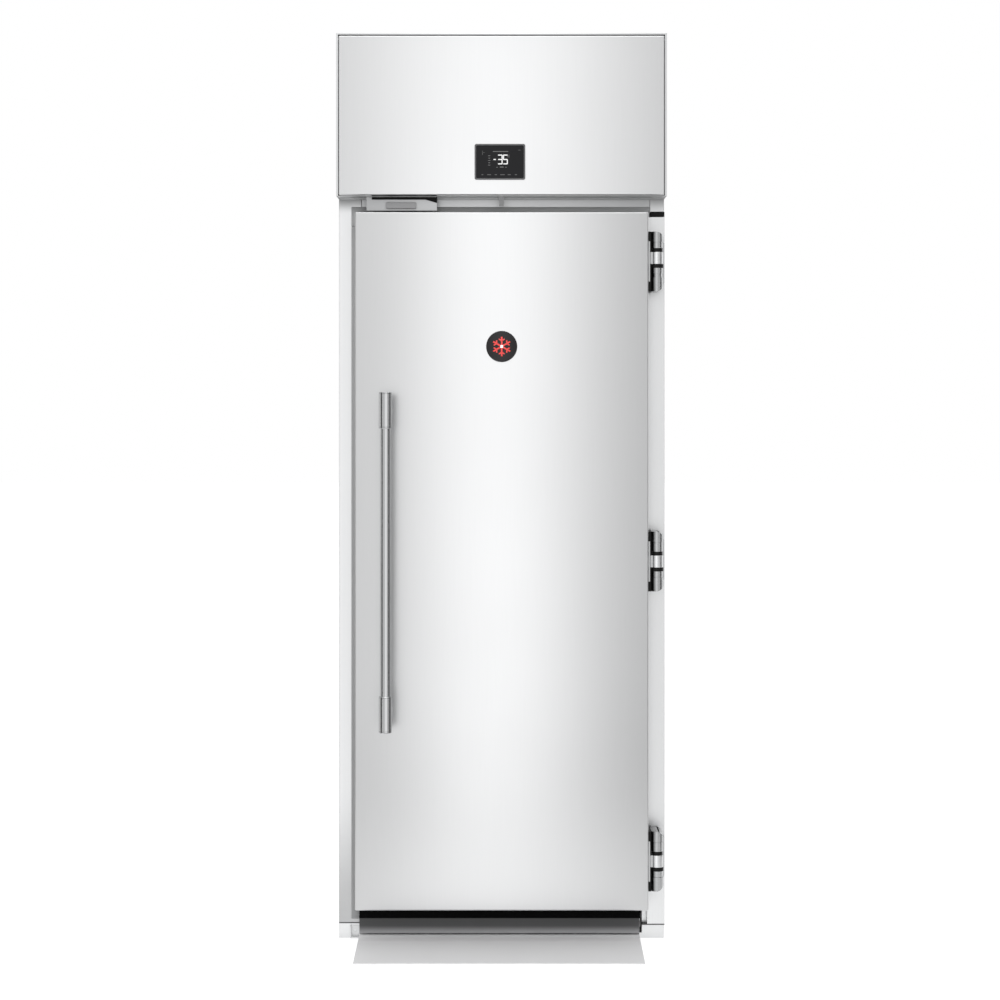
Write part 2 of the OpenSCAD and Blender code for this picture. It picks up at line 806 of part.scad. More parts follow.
// Circuit board behind the display on four spacers
module control_board() {
    back = cowl_face + casing_t;
    color("darkgreen") {
        translate([display_x, back, display_z]) {
            block([-70, 8, -50], [70, 10, 50]);
            for (x = [-62, 62], z = [-42, 42]) bar_y(x, z, 3, 0, 8);
            block([-40, 10, -30], [-5, 16, 5]);
            block([10, 10, -40], [55, 22, -25]);
        }
    }
}

// Hermetic compressor: domed can, foot plate and terminal box
module compressor() {
    r = compressor_r;
    dome = 35;
    plate = r + 15;
    box_w = 40;
    box_low = 110;
    box_high = 190;
    z0 = unit_z + foot_h + 4;
    color("black") {
        translate([compressor_x, compressor_y, z0]) rotate_extrude() intersection() {
            union() {
                square([r - dome, compressor_h]);
                translate([0, dome]) square([r, compressor_h - 2 * dome]);
                for (z = [dome, compressor_h - dome]) translate([r - dome, z]) circle(dome);
            }
            square([r + eps, compressor_h]);
        }
        translate([compressor_x, compressor_y, z0]) {
            block([-plate, -plate, -4], [plate, plate, 0]);
            block([-box_w, -r - 30, box_low], [box_w, -r + 30, box_high]);
        }
    }
}

module compressor_mounts() {
    mount = compressor_r - 5;
    color("black") for (x = [-mount, mount], y = [-mount, mount])
        bar_z(compressor_x + x, compressor_y + y, 16, unit_z, unit_z + foot_h);
}

module condenser_coil() {
    s = condenser_w / 2;
    color("lightsteelblue") {
        block([condenser_x - s + 2, condenser_y + 14, condenser_z - s + 4],
            [condenser_x + s - 2, condenser_y + 76, condenser_z + s - 4]);
        for (x = [condenser_x - s, condenser_x + s - 2])
            block([x, condenser_y + 10, condenser_z - s - 10], [x + 2, condenser_y + 80, condenser_z + s]);
    }
}

// Sheet box in front of the condenser with the ring of its fan
module condenser_shroud() {
    s = condenser_w / 2;
    sheet = 2;
    ring_r = condenser_fan_d / 2 + fan_gap;
    plate_y = condenser_y - 60;
    color("silver") difference() {
        union() {
            difference() {
                block([condenser_x - s, plate_y, condenser_z - s],
                    [condenser_x + s, condenser_y + 10, condenser_z + s]);
                block([condenser_x - s + sheet, plate_y + sheet, condenser_z - s + sheet],
                    [condenser_x + s - sheet, condenser_y + 10 + eps, condenser_z + s - sheet]);
            }
            bar_y(condenser_x, condenser_z, ring_r + sheet, condenser_fan_y, condenser_fan_y + motor_y + 12);
            for (x = [condenser_x - s, condenser_x + s - sheet])
                block([x, plate_y, unit_z], [x + sheet, condenser_y + 10, condenser_z]);
        }
        bar_y(condenser_x, condenser_z, ring_r, condenser_fan_y - eps, condenser_y);
    }
}

module condenser_fan() {
    color("slategray") fan_wheel(condenser_x, condenser_fan_y, condenser_z, condenser_fan_d, blade_n);
}

module liquid_receiver() {
    stand_h = 20;
    shell_top = unit_z + 250;
    color("black") {
        bar_z(receiver_x, receiver_y, receiver_r, unit_z + stand_h, shell_top);
        translate([receiver_x, receiver_y, shell_top]) sphere(receiver_r);
        bar_z(receiver_x, receiver_y, receiver_r * 0.7, unit_z, unit_z + stand_h);
    }
}

// Copper tube through axis-parallel points, with a ball at each corner
module tube_run(points, r) {
    for (i = [0:len(points) - 2]) {
        a = points[i];
        d = points[i + 1] - a;
        translate(a) {
            if (abs(d[0]) > 0) rotate([0, d[0] > 0 ? 90 : -90, 0]) cylinder(r = r, h = abs(d[0]), $fn = 32);
            if (abs(d[1]) > 0) rotate([d[1] > 0 ? -90 : 90, 0, 0]) cylinder(r = r, h = abs(d[1]), $fn = 32);
            if (abs(d[2]) > 0) rotate([d[2] > 0 ? 0 : 180, 0, 0]) cylinder(r = r, h = abs(d[2]), $fn = 32);
            if (i > 0) sphere(r, $fn = 32);
        }
    }
}

// Suction, discharge and liquid lines of the refrigerant circuit
module refrigerant_lines() {
    can_top = unit_z + foot_h + 4 + compressor_h;
    coil_x = condenser_x - condenser_w / 2;
    high = can_top + 35;
    low = unit_z + 60;
    drier_y = receiver_y - 180;
    color("peru") {
        tube_run([[compressor_x - 40, compressor_y, can_top], [compressor_x - 40, compressor_y, high],
            [compressor_x - 40, compressor_y - 180, high],
            [compressor_x - 40, compressor_y - 180, unit_z]], 11);
        tube_run([[compressor_x + 40, compressor_y, can_top], [compressor_x + 40, compressor_y, high],
            [compressor_x + 40, condenser_y + 45, high], [compressor_x + 40, condenser_y + 45, high - 60],
            [coil_x, condenser_y + 45, high - 60]], 7);
        tube_run([[coil_x, condenser_y + 45, low], [receiver_x + 90, condenser_y + 45, low],
            [receiver_x + 90, receiver_y, low], [receiver_x + receiver_r, receiver_y, low]], 6);
        tube_run([[receiver_x, receiver_y - receiver_r, low], [receiver_x, drier_y - 120, low],
            [receiver_x, drier_y - 120, unit_z]], 6);
        bar_y(receiver_x, low, 22, drier_y - 60, drier_y + 60);
    }
}

// Steel box with the contactors and terminals, with its screwed lid
module electrical_box() {
    x0 = -half_w + 40;
    y0 = f + 60;
    color("lightgray") {
        difference() {
            block([x0, y0, unit_z], [x0 + 300, y0 + 140, unit_z + 260]);
            block([x0 + 2, y0 - eps, unit_z + 2], [x0 + 298, y0 + 138, unit_z + 258]);
        }
        block([x0 - 4, y0 - 3, unit_z], [x0 + 304, y0, unit_z + 264]);
    }
    color("dimgray") for (i = [0:3])
        block([x0 + 30 + i * 62, y0 + 70, unit_z + 120], [x0 + 75 + i * 62, y0 + 138, unit_z + 200]);
}

// Cable gland for the mains lead on the rear panel
module mains_gland() {
    color("dimgray") difference() {
        union() {
            translate([gland_x, b + 8, gland_z]) rotate([90, 0, 0]) cylinder(r = 15, h = 8, $fn = 6);
            bar_y(gland_x, gland_z, 10, b - 12, b + 2);
            bar_y(gland_x, gland_z, 12, b + 6, b + 26);
            translate([gland_x, rear_line, gland_z]) rotate([90, 0, 0]) cylinder(r = 15, h = 6, $fn = 6);
        }
        bar_y(gland_x, gland_z, gland_r, b - 13, b + 27);
    }
}

// Outline of a hinge cap seen from the front: square towards the door, with a round outer corner
module cap_outline(cap_h) {
    r = knuckle_r;
    translate([-r, 0]) square([2 * r - cap_corner, cap_h]);
    translate([-r, 0]) square([2 * r, cap_h - cap_corner]);
    translate([r - cap_corner, cap_h - cap_corner]) circle(cap_corner);
}

// Plan of an arm: a half round front on a block that runs back to the post
module arm_plan(r) {
    circle(r);
    translate([-r, 0]) square([2 * r, f - post_out - hinge_y]);
}

// Upper or lower arm of a frame bracket: a neck and a cap, with a groove between them, bored for the pin
module hinge_arm(up, pocket_r, pocket_h) {
    start = mid_h / 2 + bush_h;
    cap_h = up ? cap_up_h : cap_low_h;
    cap_z = hinge_h / 2 - cap_h;
    groove = 1.2;
    pin_end = hinge_h / 2 - 12;
    mirror([0, 0, up ? 0 : 1]) difference() {
        union() {
            translate([hinge_x, hinge_y, start]) linear_extrude(cap_z - groove - start)
                arm_plan(knuckle_r - 0.8);
            translate([hinge_x, hinge_y, cap_z - groove]) linear_extrude(groove) arm_plan(knuckle_r - 2.3);
            translate([hinge_x, hinge_y, cap_z]) intersection() {
                linear_extrude(cap_h) arm_plan(knuckle_r);
                translate([0, f - post_out - hinge_y, 0]) rotate([90, 0, 0])
                    linear_extrude(f - post_out - hinge_y + knuckle_r) cap_outline(cap_h);
            }
        }
        bar_z(hinge_x, hinge_y, pin_r + pin_gap, start - eps, pin_end);
        bar_z(hinge_x, hinge_y, pocket_r, start - eps, start + pocket_h);
    }
}

// Room in the upper arm for the sleeve that rises with the door
sleeve_r = knuckle_r - 2.5;
pocket_depth = door_rise + 2;

module hinge_brackets() {
    color("lightgray") for (z = hinge_z) translate([0, 0, z]) {
        hinge_arm(true, sleeve_r + 0.3, pocket_depth);
        hinge_arm(false, pin_r + pin_gap, 1);
        block([post_x, f - post_out - 5, -hinge_h / 2], [half_w - 1, f - post_out, hinge_h / 2]);
    }
}

module hinge_bushes() {
    color("black") for (z = hinge_z) difference() {
        bar_z(hinge_x, hinge_y, knuckle_r, z - mid_h / 2 - bush_h, z - mid_h / 2);
        bar_z(hinge_x, hinge_y, pin_r + pin_gap, z - mid_h / 2 - bush_h - eps, z);
    }
}

module hinge_pins() {
    color("silver") for (z = hinge_z)
        bar_z(hinge_x, hinge_y, pin_r, z - hinge_h / 2 + 14, z + hinge_h / 2 - 12 - door_rise - 2);
}

// Door leaves: a plate on the edge of the door and the middle knuckle
module hinge_leaves() {
    color("silver") for (z = hinge_z) difference() {
        union() {
            block([door_right, door_face + 8, z - hinge_h / 2 + leaf_end_h],
                [door_right + leaf_t, door_back - 8, z + hinge_h / 2 - leaf_end_h]);
            bar_z(hinge_x, hinge_y, knuckle_r, z - mid_h / 2, z + mid_h / 2);
            block([door_right + leaf_t - 0.5, hinge_y - 9, z - mid_h / 2],
                [hinge_x, hinge_y + 9, z + mid_h / 2]);
        }
        bar_z(hinge_x, hinge_y, pin_r + pin_gap, z - mid_h, z + mid_h);
    }
}

// Black covers over the leaves, which wrap round their ends, and the sleeve above each middle knuckle
module hinge_trims() {
    x0 = door_right + leaf_t;
    color("black") for (z = hinge_z) {
        for (s = [-1, 1]) {
            block([x0, door_face + 10, z + (s > 0 ? mid_h / 2 : -hinge_h / 2)],
                [x0 + leaf_cover_t, door_back - 10, z + (s > 0 ? hinge_h / 2 : -mid_h / 2)]);
            block([door_right, door_face + 8, z + (s > 0 ? hinge_h / 2 - leaf_end_h : -hinge_h / 2)],
                [x0 + eps, door_back - 10, z + (s > 0 ? hinge_h / 2 : leaf_end_h - hinge_h / 2)]);
        }
        difference() {
            bar_z(hinge_x, hinge_y, sleeve_r, z + mid_h / 2, z + mid_h / 2 + bush_h);
            bar_z(hinge_x, hinge_y, pin_r + pin_gap, z, z + mid_h);
        }
    }
}

// Corners of the door slab
skin_low = [door_left, door_face, door_z];
skin_high = [door_right, door_back - liner_rim, door_top];
core_low = skin_low + [door_skin_t, door_skin_t, door_skin_t];
core_high = skin_high - [door_skin_t, 0, door_skin_t];
rim_low = [door_left, door_back - liner_rim, door_z];
rim_high = [door_right, door_back, door_top];
plug_low = [door_left + plug_inset, door_back - 2 * liner_t, door_z + plug_inset];
plug_high = [door_right - plug_inset, door_back + plug_out, door_top - plug_inset];

module door_skin() {
    color("whitesmoke") difference() {
        translate([0, skin_high[1], 0]) rotate([90, 0, 0]) translate([door_mid, door_z + door_h / 2, 0])
            linear_extrude(skin_high[1] - door_face) round_rect(door_w, door_h, 3);
        block(core_low, core_high + [0, eps, 0]);
    }
}

module liner_fill() {
    wall = [liner_t, liner_t, liner_t];
    block(rim_low + [liner_t, 0, liner_t], rim_high - wall);
    block(plug_low + [liner_t, 0, liner_t], plug_high - wall);
}

module door_foam() {
    color("khaki") {
        block(core_low, core_high);
        liner_fill();
    }
}

module door_liner() {
    color("gainsboro") difference() {
        union() {
            block(rim_low, rim_high);
            block(plug_low, plug_high);
        }
        liner_fill();
        block(rim_low + [liner_t, -eps, liner_t],
            [rim_high[0] - liner_t, rim_low[1] + eps, rim_high[2] - liner_t]);
    }
}

// Magnetic gasket on three sides of the door
module door_gasket() {
    l = door_left + gasket_inset;
    r = door_right - gasket_inset;
    t = door_top - gasket_inset;
    low = door_z + 2;
    color("dimgray") {
        block([l, door_back, low], [l + gasket_w, door_back + gasket_t, t - gasket_w - butt_gap]);
        block([r - gasket_w, door_back, low], [r, door_back + gasket_t, t - gasket_w - butt_gap]);
        block([l, door_back, t - gasket_w], [r, door_back + gasket_t, t]);
    }
}

// Sweep under the door: a foot on the bottom edge, a clamp bar, a black carrier and a hanging blade
module door_sweep() {
    l = door_left + 11;
    r = door_right - 15;
    blade_y = door_back - carrier_t / 2;
    color("black") {
        block([l, door_back - 40, door_z - 4], [r, door_back, door_z]);
        block([l, door_back - carrier_t, carrier_z], [r, door_back, door_z - 2]);
        block([l, door_back - 36, door_z - 7], [r, door_back - carrier_t - 4, door_z - 3.5]);
    }
    color("dimgray") block([l, blade_y - sweep_t / 2, sweep_z], [r, blade_y + sweep_t / 2, carrier_z + 10]);
}

module handle_tube() {
    color("silver") translate([handle_x, handle_y, handle_z + 1]) cylinder(d = handle_d, h = handle_l - 2);
}

// Collars over the ends of the tube, each on a round post that is screwed to the door
module handle_mounts() {
    color("lightgray") for (z0 = [handle_z, handle_z + handle_l - collar_l]) difference() {
        union() {
            bar_z(handle_x, handle_y, collar_d / 2, z0, z0 + collar_l);
            bar_y(handle_x, z0 + collar_l / 2, handle_post_d / 2, handle_y, door_face);
        }
        bar_z(handle_x, handle_y, handle_d / 2, handle_z + 1, handle_z + handle_l - 1);
    }
}

// Round domed badge with a step at its rim
module door_badge() {
    r = badge_d / 2;
    rim = 3;
    dome_r = (r * r + (badge_out - rim) * (badge_out - rim)) / (2 * (badge_out - rim));
    color("black") translate([door_mid, door_face, badge_z]) rotate([90, 0, 0]) {
        cylinder(r = r, h = rim);
        translate([0, 0, rim]) intersection() {
            translate([0, 0, badge_out - rim - dome_r]) sphere(dome_r, $fn = 200);
            cylinder(r = r - 2, h = badge_out);
        }
    }
}

floor_panel();
left_wall();
right_wall();
rear_wall();
roof_panel();
panel_foam();
header_panel();
left_jamb();
right_jamb();
door_surround();
hinge_post();
post_end_seal();
ramp();
ramp_lug();
bumper_rails();
fan_panel();
fan_guards();
fan_motors();
evaporator_coil();
drip_tray();
drain_pipe();
probe_socket();
left_casing();
right_casing();
top_cover();
rear_grille();
cowl_soffit();
switch_bracket();
door_switch();
cowl_catch();
cowl_pins();
compressor();
compressor_mounts();
condenser_coil();
condenser_shroud();
liquid_receiver();
refrigerant_lines();
electrical_box();
mains_gland();
hinge_brackets();
hinge_bushes();
cowl_front();
display_bezel();
display_glass();
control_board();
hinge_pins();
hinge_leaves();
hinge_trims();
door_skin();
door_foam();
door_liner();
door_gasket();
door_sweep();
handle_tube();
handle_mounts();
door_badge();
fan_1();
fan_2();
fan_3();
condenser_fan();
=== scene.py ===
"""Roll-in blast chiller, finished round its working frame. Metres, +Z is up and the door faces -Y."""
import math

import bmesh
import bpy
from mathutils import Matrix, Vector


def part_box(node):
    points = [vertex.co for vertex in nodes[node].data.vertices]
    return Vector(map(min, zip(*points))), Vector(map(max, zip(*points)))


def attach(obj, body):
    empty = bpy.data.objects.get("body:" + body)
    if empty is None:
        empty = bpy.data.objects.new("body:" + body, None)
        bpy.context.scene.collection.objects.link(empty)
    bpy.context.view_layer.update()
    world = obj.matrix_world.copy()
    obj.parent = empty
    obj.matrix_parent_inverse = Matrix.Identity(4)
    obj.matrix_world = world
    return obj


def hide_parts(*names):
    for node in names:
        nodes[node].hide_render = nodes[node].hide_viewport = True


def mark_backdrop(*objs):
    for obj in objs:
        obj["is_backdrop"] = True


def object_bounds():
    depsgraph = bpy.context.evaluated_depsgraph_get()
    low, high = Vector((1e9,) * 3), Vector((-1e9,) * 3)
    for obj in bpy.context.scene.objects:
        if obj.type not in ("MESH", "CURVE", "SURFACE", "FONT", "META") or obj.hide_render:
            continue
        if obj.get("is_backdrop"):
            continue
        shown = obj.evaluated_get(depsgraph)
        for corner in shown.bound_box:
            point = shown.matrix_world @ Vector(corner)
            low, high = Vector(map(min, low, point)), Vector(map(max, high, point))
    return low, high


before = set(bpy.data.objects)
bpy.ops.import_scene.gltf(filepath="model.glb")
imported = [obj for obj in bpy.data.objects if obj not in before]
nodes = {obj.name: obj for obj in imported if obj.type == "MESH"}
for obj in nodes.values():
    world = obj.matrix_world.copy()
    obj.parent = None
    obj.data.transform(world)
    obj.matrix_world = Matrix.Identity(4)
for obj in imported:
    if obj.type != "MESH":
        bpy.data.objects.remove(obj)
cad_box = [list(corner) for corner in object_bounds()]
bpy.ops.object.select_all(action="DESELECT")


# ==== Studio ====================================================================================
# A level camera 7 m in front of the door, at a standing viewer's eye. The picture is shifted down
# instead of tilted, which keeps the uprights parallel.
eye = (0.0, -6.959, 1.446)
scene = bpy.context.scene
lens = bpy.data.cameras.new("camera")
lens.lens = 90.36
lens.shift_x = -0.0015
lens.shift_y = -0.115
camera = bpy.data.objects.new("camera", lens)
camera.location = eye
camera.rotation_euler = (math.radians(90), 0, 0)
scene.collection.objects.link(camera)
scene.camera = camera
scene.view_settings.view_transform = "Standard"


def feed(tree, socket, value):
    """Links a socket to another one, or sets its value."""
    if isinstance(value, bpy.types.NodeSocket):
        tree.links.new(value, socket)
    else:
        socket.default_value = value


def add_node(tree, kind, settings=None, **inputs):
    """Adds a shader node to a tree, with its inputs given by name."""
    made = tree.nodes.new("ShaderNode" + kind)
    for name, value in (settings or {}).items():
        setattr(made, name, value)
    for name, value in inputs.items():
        feed(tree, made.inputs[name.replace("_", " ")], value)
    return made


def wired(tree, kind, operation, *values):
    """Adds a shader node with its inputs given in order, and gives its first output."""
    made = add_node(tree, kind, {"operation": operation} if operation else None)
    for socket, value in zip(made.inputs, values):
        feed(tree, socket, value)
    return made.outputs[0]


def seen_directly(tree):
    """1 on rays that show the backdrop: from the camera, in a mirror or through glass."""
    rays = add_node(tree, "LightPath").outputs
    either = wired(tree, "Math", "MAXIMUM", rays["Is Camera Ray"], rays["Is Glossy Ray"])
    return wired(tree, "Math", "MAXIMUM", either, rays["Is Transmission Ray"])


def blank_paper(name):
    """A new material with nothing in its tree, and that tree."""
    made = bpy.data.materials.new(name)
    made.use_nodes = True
    made.node_tree.nodes.clear()
    return made, made.node_tree


# White paper backdrop all round, and the soft light that it gives
backdrop_light = 0.72
world = bpy.data.worlds.new("studio")
scene.world = world
world.use_nodes = True
paper = world.node_tree
paper.nodes.clear()
soft = add_node(paper, "Background", Color=(1, 1, 1, 1), Strength=backdrop_light)
white = add_node(paper, "Background", Color=(1, 1, 1, 1), Strength=1.0)
either = wired(paper, "MixShader", None, seen_directly(paper), soft.outputs[0], white.outputs[0])
add_node(paper, "OutputWorld", Surface=either)


# How bright the reflector card in front of the door is, over its width in metres from the middle. It
# makes the broad upright highlight of the door and of the cowl.
card_y = -1.45
card_w = 2.6
card_h = 2.72
card_levels = [(-1.30, 1.0), (-0.58, 1.0), (-0.45, 1.1), (-0.33, 1.39), (-0.22, 1.62), (-0.11, 1.77),
               (0.0, 1.81), (0.11, 1.71), (0.22, 1.51), (0.32, 1.28), (0.42, 1.08), (0.54, 0.88),
               (0.75, 0.75), (1.30, 0.7)]
top_level = 2.0
card_light = bpy.data.node_groups.new("card_light", "ShaderNodeTree")
card_light.interface.new_socket("Level", in_out="OUTPUT", socket_type="NodeSocketFloat")
across = add_node(card_light, "SeparateXYZ", Vector=add_node(card_light, "TexCoord").outputs["Object"])
share = add_node(card_light, "MapRange", Value=across.outputs["X"], From_Min=-card_w / 2, From_Max=card_w / 2)
levels = add_node(card_light, "ValToRGB", Fac=share.outputs["Result"])
levels.color_ramp.interpolation = "EASE"
for i, (x, level) in enumerate(card_levels):
    at = x / card_w + 0.5
    stops = levels.color_ramp.elements
    stop = stops[0] if i == 0 else stops[-1] if i == len(card_levels) - 1 else stops.new(at)
    stop.position = at
    stop.color = (level / top_level,) * 3 + (1,)
card_level = wired(card_light, "Math", "MULTIPLY", levels.outputs["Color"], top_level)
feed(card_light, card_light.nodes.new("NodeGroupOutput").inputs["Level"], card_level)

# Floor of the same white, which keeps a faint shadow under the cabinet. In the door it repeats a part
# of the card's light, from the strip between the two.
floor_white = 0.8
floor_grey = 0.28
floor_glow = 0.86
floor_share = 0.60
strip_start = -0.45
bpy.ops.mesh.primitive_plane_add(size=60, location=(0, 0, -0.0005))
floor = bpy.context.object
floor.name = "studio_floor"
floor_paint, paper = blank_paper("studio_floor")
lit = add_node(paper, "BsdfDiffuse", Color=(floor_white,) * 3 + (1,))
dimmed = add_node(paper, "BsdfDiffuse", Color=(floor_grey,) * 3 + (1,))
strip = add_node(paper, "Group", {"node_tree": card_light})
along = add_node(paper, "SeparateXYZ", Vector=add_node(paper, "TexCoord").outputs["Object"])
in_strip = wired(paper, "Math", "LESS_THAN", along.outputs["Y"], strip_start)
in_mirror = wired(paper, "Math", "MULTIPLY", in_strip, add_node(paper, "LightPath").outputs["Is Glossy Ray"])
beyond = wired(paper, "Math", "MULTIPLY_ADD", strip.outputs["Level"], floor_share, -floor_share)
floor_level = wired(paper, "Math", "MULTIPLY_ADD", beyond, in_mirror, floor_glow)
glow = add_node(paper, "Emission", Color=(1, 1, 1, 1), Strength=floor_level)
shown = wired(paper, "AddShader", None, dimmed.outputs[0], glow.outputs[0])
either = wired(paper, "MixShader", None, seen_directly(paper), lit.outputs[0], shown)
add_node(paper, "OutputMaterial", Surface=either)
floor.data.materials.append(floor_paint)
floor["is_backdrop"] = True


def soft_box(name, place, aim, width, height, radiance):
    """A studio lamp: a white rectangle of an even brightness, turned towards a point."""
    data = bpy.data.lights.new(name, "AREA")
    data.shape = "RECTANGLE"
    data.size = width
    data.size_y = height
    data.energy = radiance * math.pi * width * height
    lamp = bpy.data.objects.new(name, data)
    lamp.location = place
    lamp.rotation_euler = (Vector(aim) - Vector(place)).to_track_quat("-Z", "Y").to_euler()
    lamp.visible_camera = False
    scene.collection.objects.link(lamp)
    return lamp


# A wide lamp overhead, a dim one at each side, and one in front that mirrors don't show
soft_box("overhead", (0, -1.6, 4.2), (0, 0, 0.8), 3.0, 1.6, 2.0)
soft_box("left_side", (-4.2, 0.4, 1.9), (0, 0, 1.1), 1.6, 2.2, 0.5)
soft_box("right_side", (4.2, 0.4, 1.9), (0, 0, 1.1), 1.6, 2.2, 0.5)
front_key = soft_box("front_key", (0, -4.6, 3.4), (0, 0, 0.6), 3.0, 1.6, 8.0)
front_key.visible_glossy = False

# The reflector card, and a dark flag at each side of it that gives round bars their dark edges. Only
# mirrors show them.
flag_x = 1.45
flag_start = -1.30
flag_end = -0.52
flag_level = 0.10


def upright_sheet(name, place, turn, size, strength, paint):
    """A studio sheet that gives an even or a graded light. Its paint is a material and its tree."""
    bpy.ops.mesh.primitive_plane_add(size=1, location=place, rotation=turn)
    sheet = bpy.context.object
    sheet.name = name
    sheet.scale = (*size, 1)
    bpy.ops.object.transform_apply(location=False, rotation=False, scale=True)
    light = add_node(paint[1], "Emission", Color=(1, 1, 1, 1), Strength=strength)
    add_node(paint[1], "OutputMaterial", Surface=light.outputs[0])
    sheet.data.materials.append(paint[0])
    return sheet


card_paint = blank_paper("reflector_card")
strip = add_node(card_paint[1], "Group", {"node_tree": card_light})
mirrored = [upright_sheet("reflector_card", (0, card_y, card_h / 2), (math.radians(90), 0, 0),
                          (card_w, card_h), strip.outputs["Level"], card_paint)]
flag_y = (flag_start + flag_end) / 2
for side, name in [(-1, "left_flag"), (1, "right_flag")]:
    flag = upright_sheet(name, (side * flag_x, flag_y, card_h / 2), (0, math.radians(90), 0),
                         (card_h, flag_end - flag_start), flag_level, blank_paper(name))
    mirrored.append(flag)
for sheet in mirrored:
    sheet.visible_camera = False
    sheet.visible_diffuse = False
    sheet.visible_shadow = False
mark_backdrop(*mirrored)


# ==== Door skin =================================================================================
# Outer sheet of the door: 1.5 mm brushed stainless steel, folded back on all four sides with tight
# radii. The grain runs upright.


def effect_group(name, inputs, outputs):
    """An empty shader node group with named sockets, for an effect that several finishes share."""
    tree = bpy.data.node_groups.new(name, "ShaderNodeTree")
    for label, kind in inputs.items():
        tree.interface.new_socket(label, in_out="INPUT", socket_type="NodeSocket" + kind)
    for label in outputs:
        tree.interface.new_socket(label, in_out="OUTPUT", socket_type="NodeSocketFloat")
    return tree, tree.nodes.new("NodeGroupInput"), tree.nodes.new("NodeGroupOutput")


# Brushed grain: fine streaks along one axis, and the broad smears of a wiped surface
grain_effect, given, put_out = effect_group("brushed_grain", {"Stretch": "Vector"}, ["Grain", "Smear"])
place = add_node(grain_effect, "TexCoord").outputs["Object"]
stretched = wired(grain_effect, "VectorMath", "MULTIPLY", place, given.outputs["Stretch"])
streaks = add_node(grain_effect, "TexNoise", Vector=stretched, Scale=1.0, Detail=4.0, Roughness=0.65)
smears = add_node(grain_effect, "TexNoise", Vector=place, Scale=2.6, Detail=3.0, Roughness=0.5)
grain_effect.links.new(streaks.outputs["Fac"], put_out.inputs["Grain"])
grain_effect.links.new(smears.outputs["Fac"], put_out.inputs["Smear"])

UPRIGHT = (950.0, 950.0, 7.0)
LEVEL = (7.0, 950.0, 950.0)


def new_finish(name, metallic=0.0, specular=0.5):
    """A new material, its tree and the inputs of its shader."""
    finish = bpy.data.materials.new(name)
    finish.use_nodes = True
    shader = finish.node_tree.nodes["Principled BSDF"]
    shader.inputs["Metallic"].default_value = metallic
    shader.inputs["Specular IOR Level"].default_value = specular
    return finish, finish.node_tree, shader.inputs


def mixed(tree, share, first, second):
    """A colour between two others, by a share that varies over the surface."""
    made = add_node(tree, "Mix", {"data_type": "RGBA"})
    tree.links.new(share, made.inputs[0])
    made.inputs[6].default_value = first
    made.inputs[7].default_value = second
    return made.outputs[2]


def shade_of(colour, factor):
    """A colour made lighter or darker."""
    return tuple(min(1.0, part * factor) for part in colour) + (1.0,)


def varied(tree, inputs, tone, rough, colour, shades, roughness, spread):
    """Lets a finish's shade and roughness vary over the surface, by two values from 0 to 1."""
    feed(tree, inputs["Base Color"], mixed(tree, tone, *(shade_of(colour, shade) for shade in shades)))
    made = add_node(tree, "MapRange", Value=rough, To_Min=roughness - spread, To_Max=roughness + spread)
    feed(tree, inputs["Roughness"], made.outputs["Result"])


def embossed(tree, inputs, relief, height):
    """Gives a finish a fine relief."""
    bump = add_node(tree, "Bump", Strength=relief, Distance=0.0004, Height=height)
    feed(tree, inputs["Normal"], bump.outputs[0])


def brushed_steel(name, colour, roughness, run=UPRIGHT, relief=0.05, contrast=0.03):
    """Brushed or rolled sheet metal, with its grain along one axis."""
    finish, tree, inputs = new_finish(name, metallic=1.0)
    grain = add_node(tree, "Group", {"node_tree": grain_effect}, Stretch=run).outputs
    varied(tree, inputs, grain["Grain"], grain["Smear"], colour, (1 - contrast, 1 + contrast),
           roughness, 0.04)
    embossed(tree, inputs, relief, grain["Grain"])
    return finish


def graded(finish, axis, start, end, at_start, at_end):
    """Makes a finish lighter or darker along an axis, between two places."""
    tree = finish.node_tree
    socket = tree.nodes["Principled BSDF"].inputs["Base Color"]
    along = add_node(tree, "SeparateXYZ", Vector=add_node(tree, "TexCoord").outputs["Object"])
    factor = add_node(tree, "MapRange", {"interpolation_type": "SMOOTHSTEP"}, Value=along.outputs[axis],
                      From_Min=start, From_Max=end, To_Min=at_start, To_Max=at_end)
    changed = add_node(tree, "VectorMath", {"operation": "SCALE"})
    tree.links.new(socket.links[0].from_socket, changed.inputs[0])
    tree.links.new(factor.outputs["Result"], changed.inputs["Scale"])
    tree.links.new(changed.outputs[0], socket)
    return finish


def block(name, low, high):
    """Adds a block between two corners, as the start of a piece."""
    low, high = Vector(low), Vector(high)
    bpy.ops.mesh.primitive_cube_add(size=1, location=(low + high) / 2, scale=high - low)
    piece = bpy.context.object
    piece.name = name
    bpy.ops.object.transform_apply(location=True, rotation=True, scale=True)
    return piece


def pick(piece, part, test):
    """In edit mode, selects the faces or edges whose middle and direction pass a test."""
    bpy.ops.mesh.select_mode(type=part)
    bpy.ops.mesh.select_all(action="DESELECT")
    shape = bmesh.from_edit_mesh(piece.data)
    if part == "FACE":
        for face in shape.faces:
            face.select_set(bool(test(face.calc_center_median(), face.normal)))
    else:
        for edge in shape.edges:
            a, b = (corner.co for corner in edge.verts)
            edge.select_set(bool(test((a + b) / 2, (b - a).normalized())))
    bmesh.update_edit_mesh(piece.data)


def choose(*pieces):
    """Selects pieces alone, the first of them as the active one."""
    bpy.ops.object.select_all(action="DESELECT")
    for piece in pieces:
        piece.select_set(True)
    bpy.context.view_layer.objects.active = pieces[0]


def edit(piece):
    """Starts editing one piece alone."""
    if bpy.context.mode != "OBJECT":
        bpy.ops.object.mode_set(mode="OBJECT")
    choose(piece)
    bpy.ops.object.mode_set(mode="EDIT")


def done_editing():
    bpy.ops.object.mode_set(mode="OBJECT")


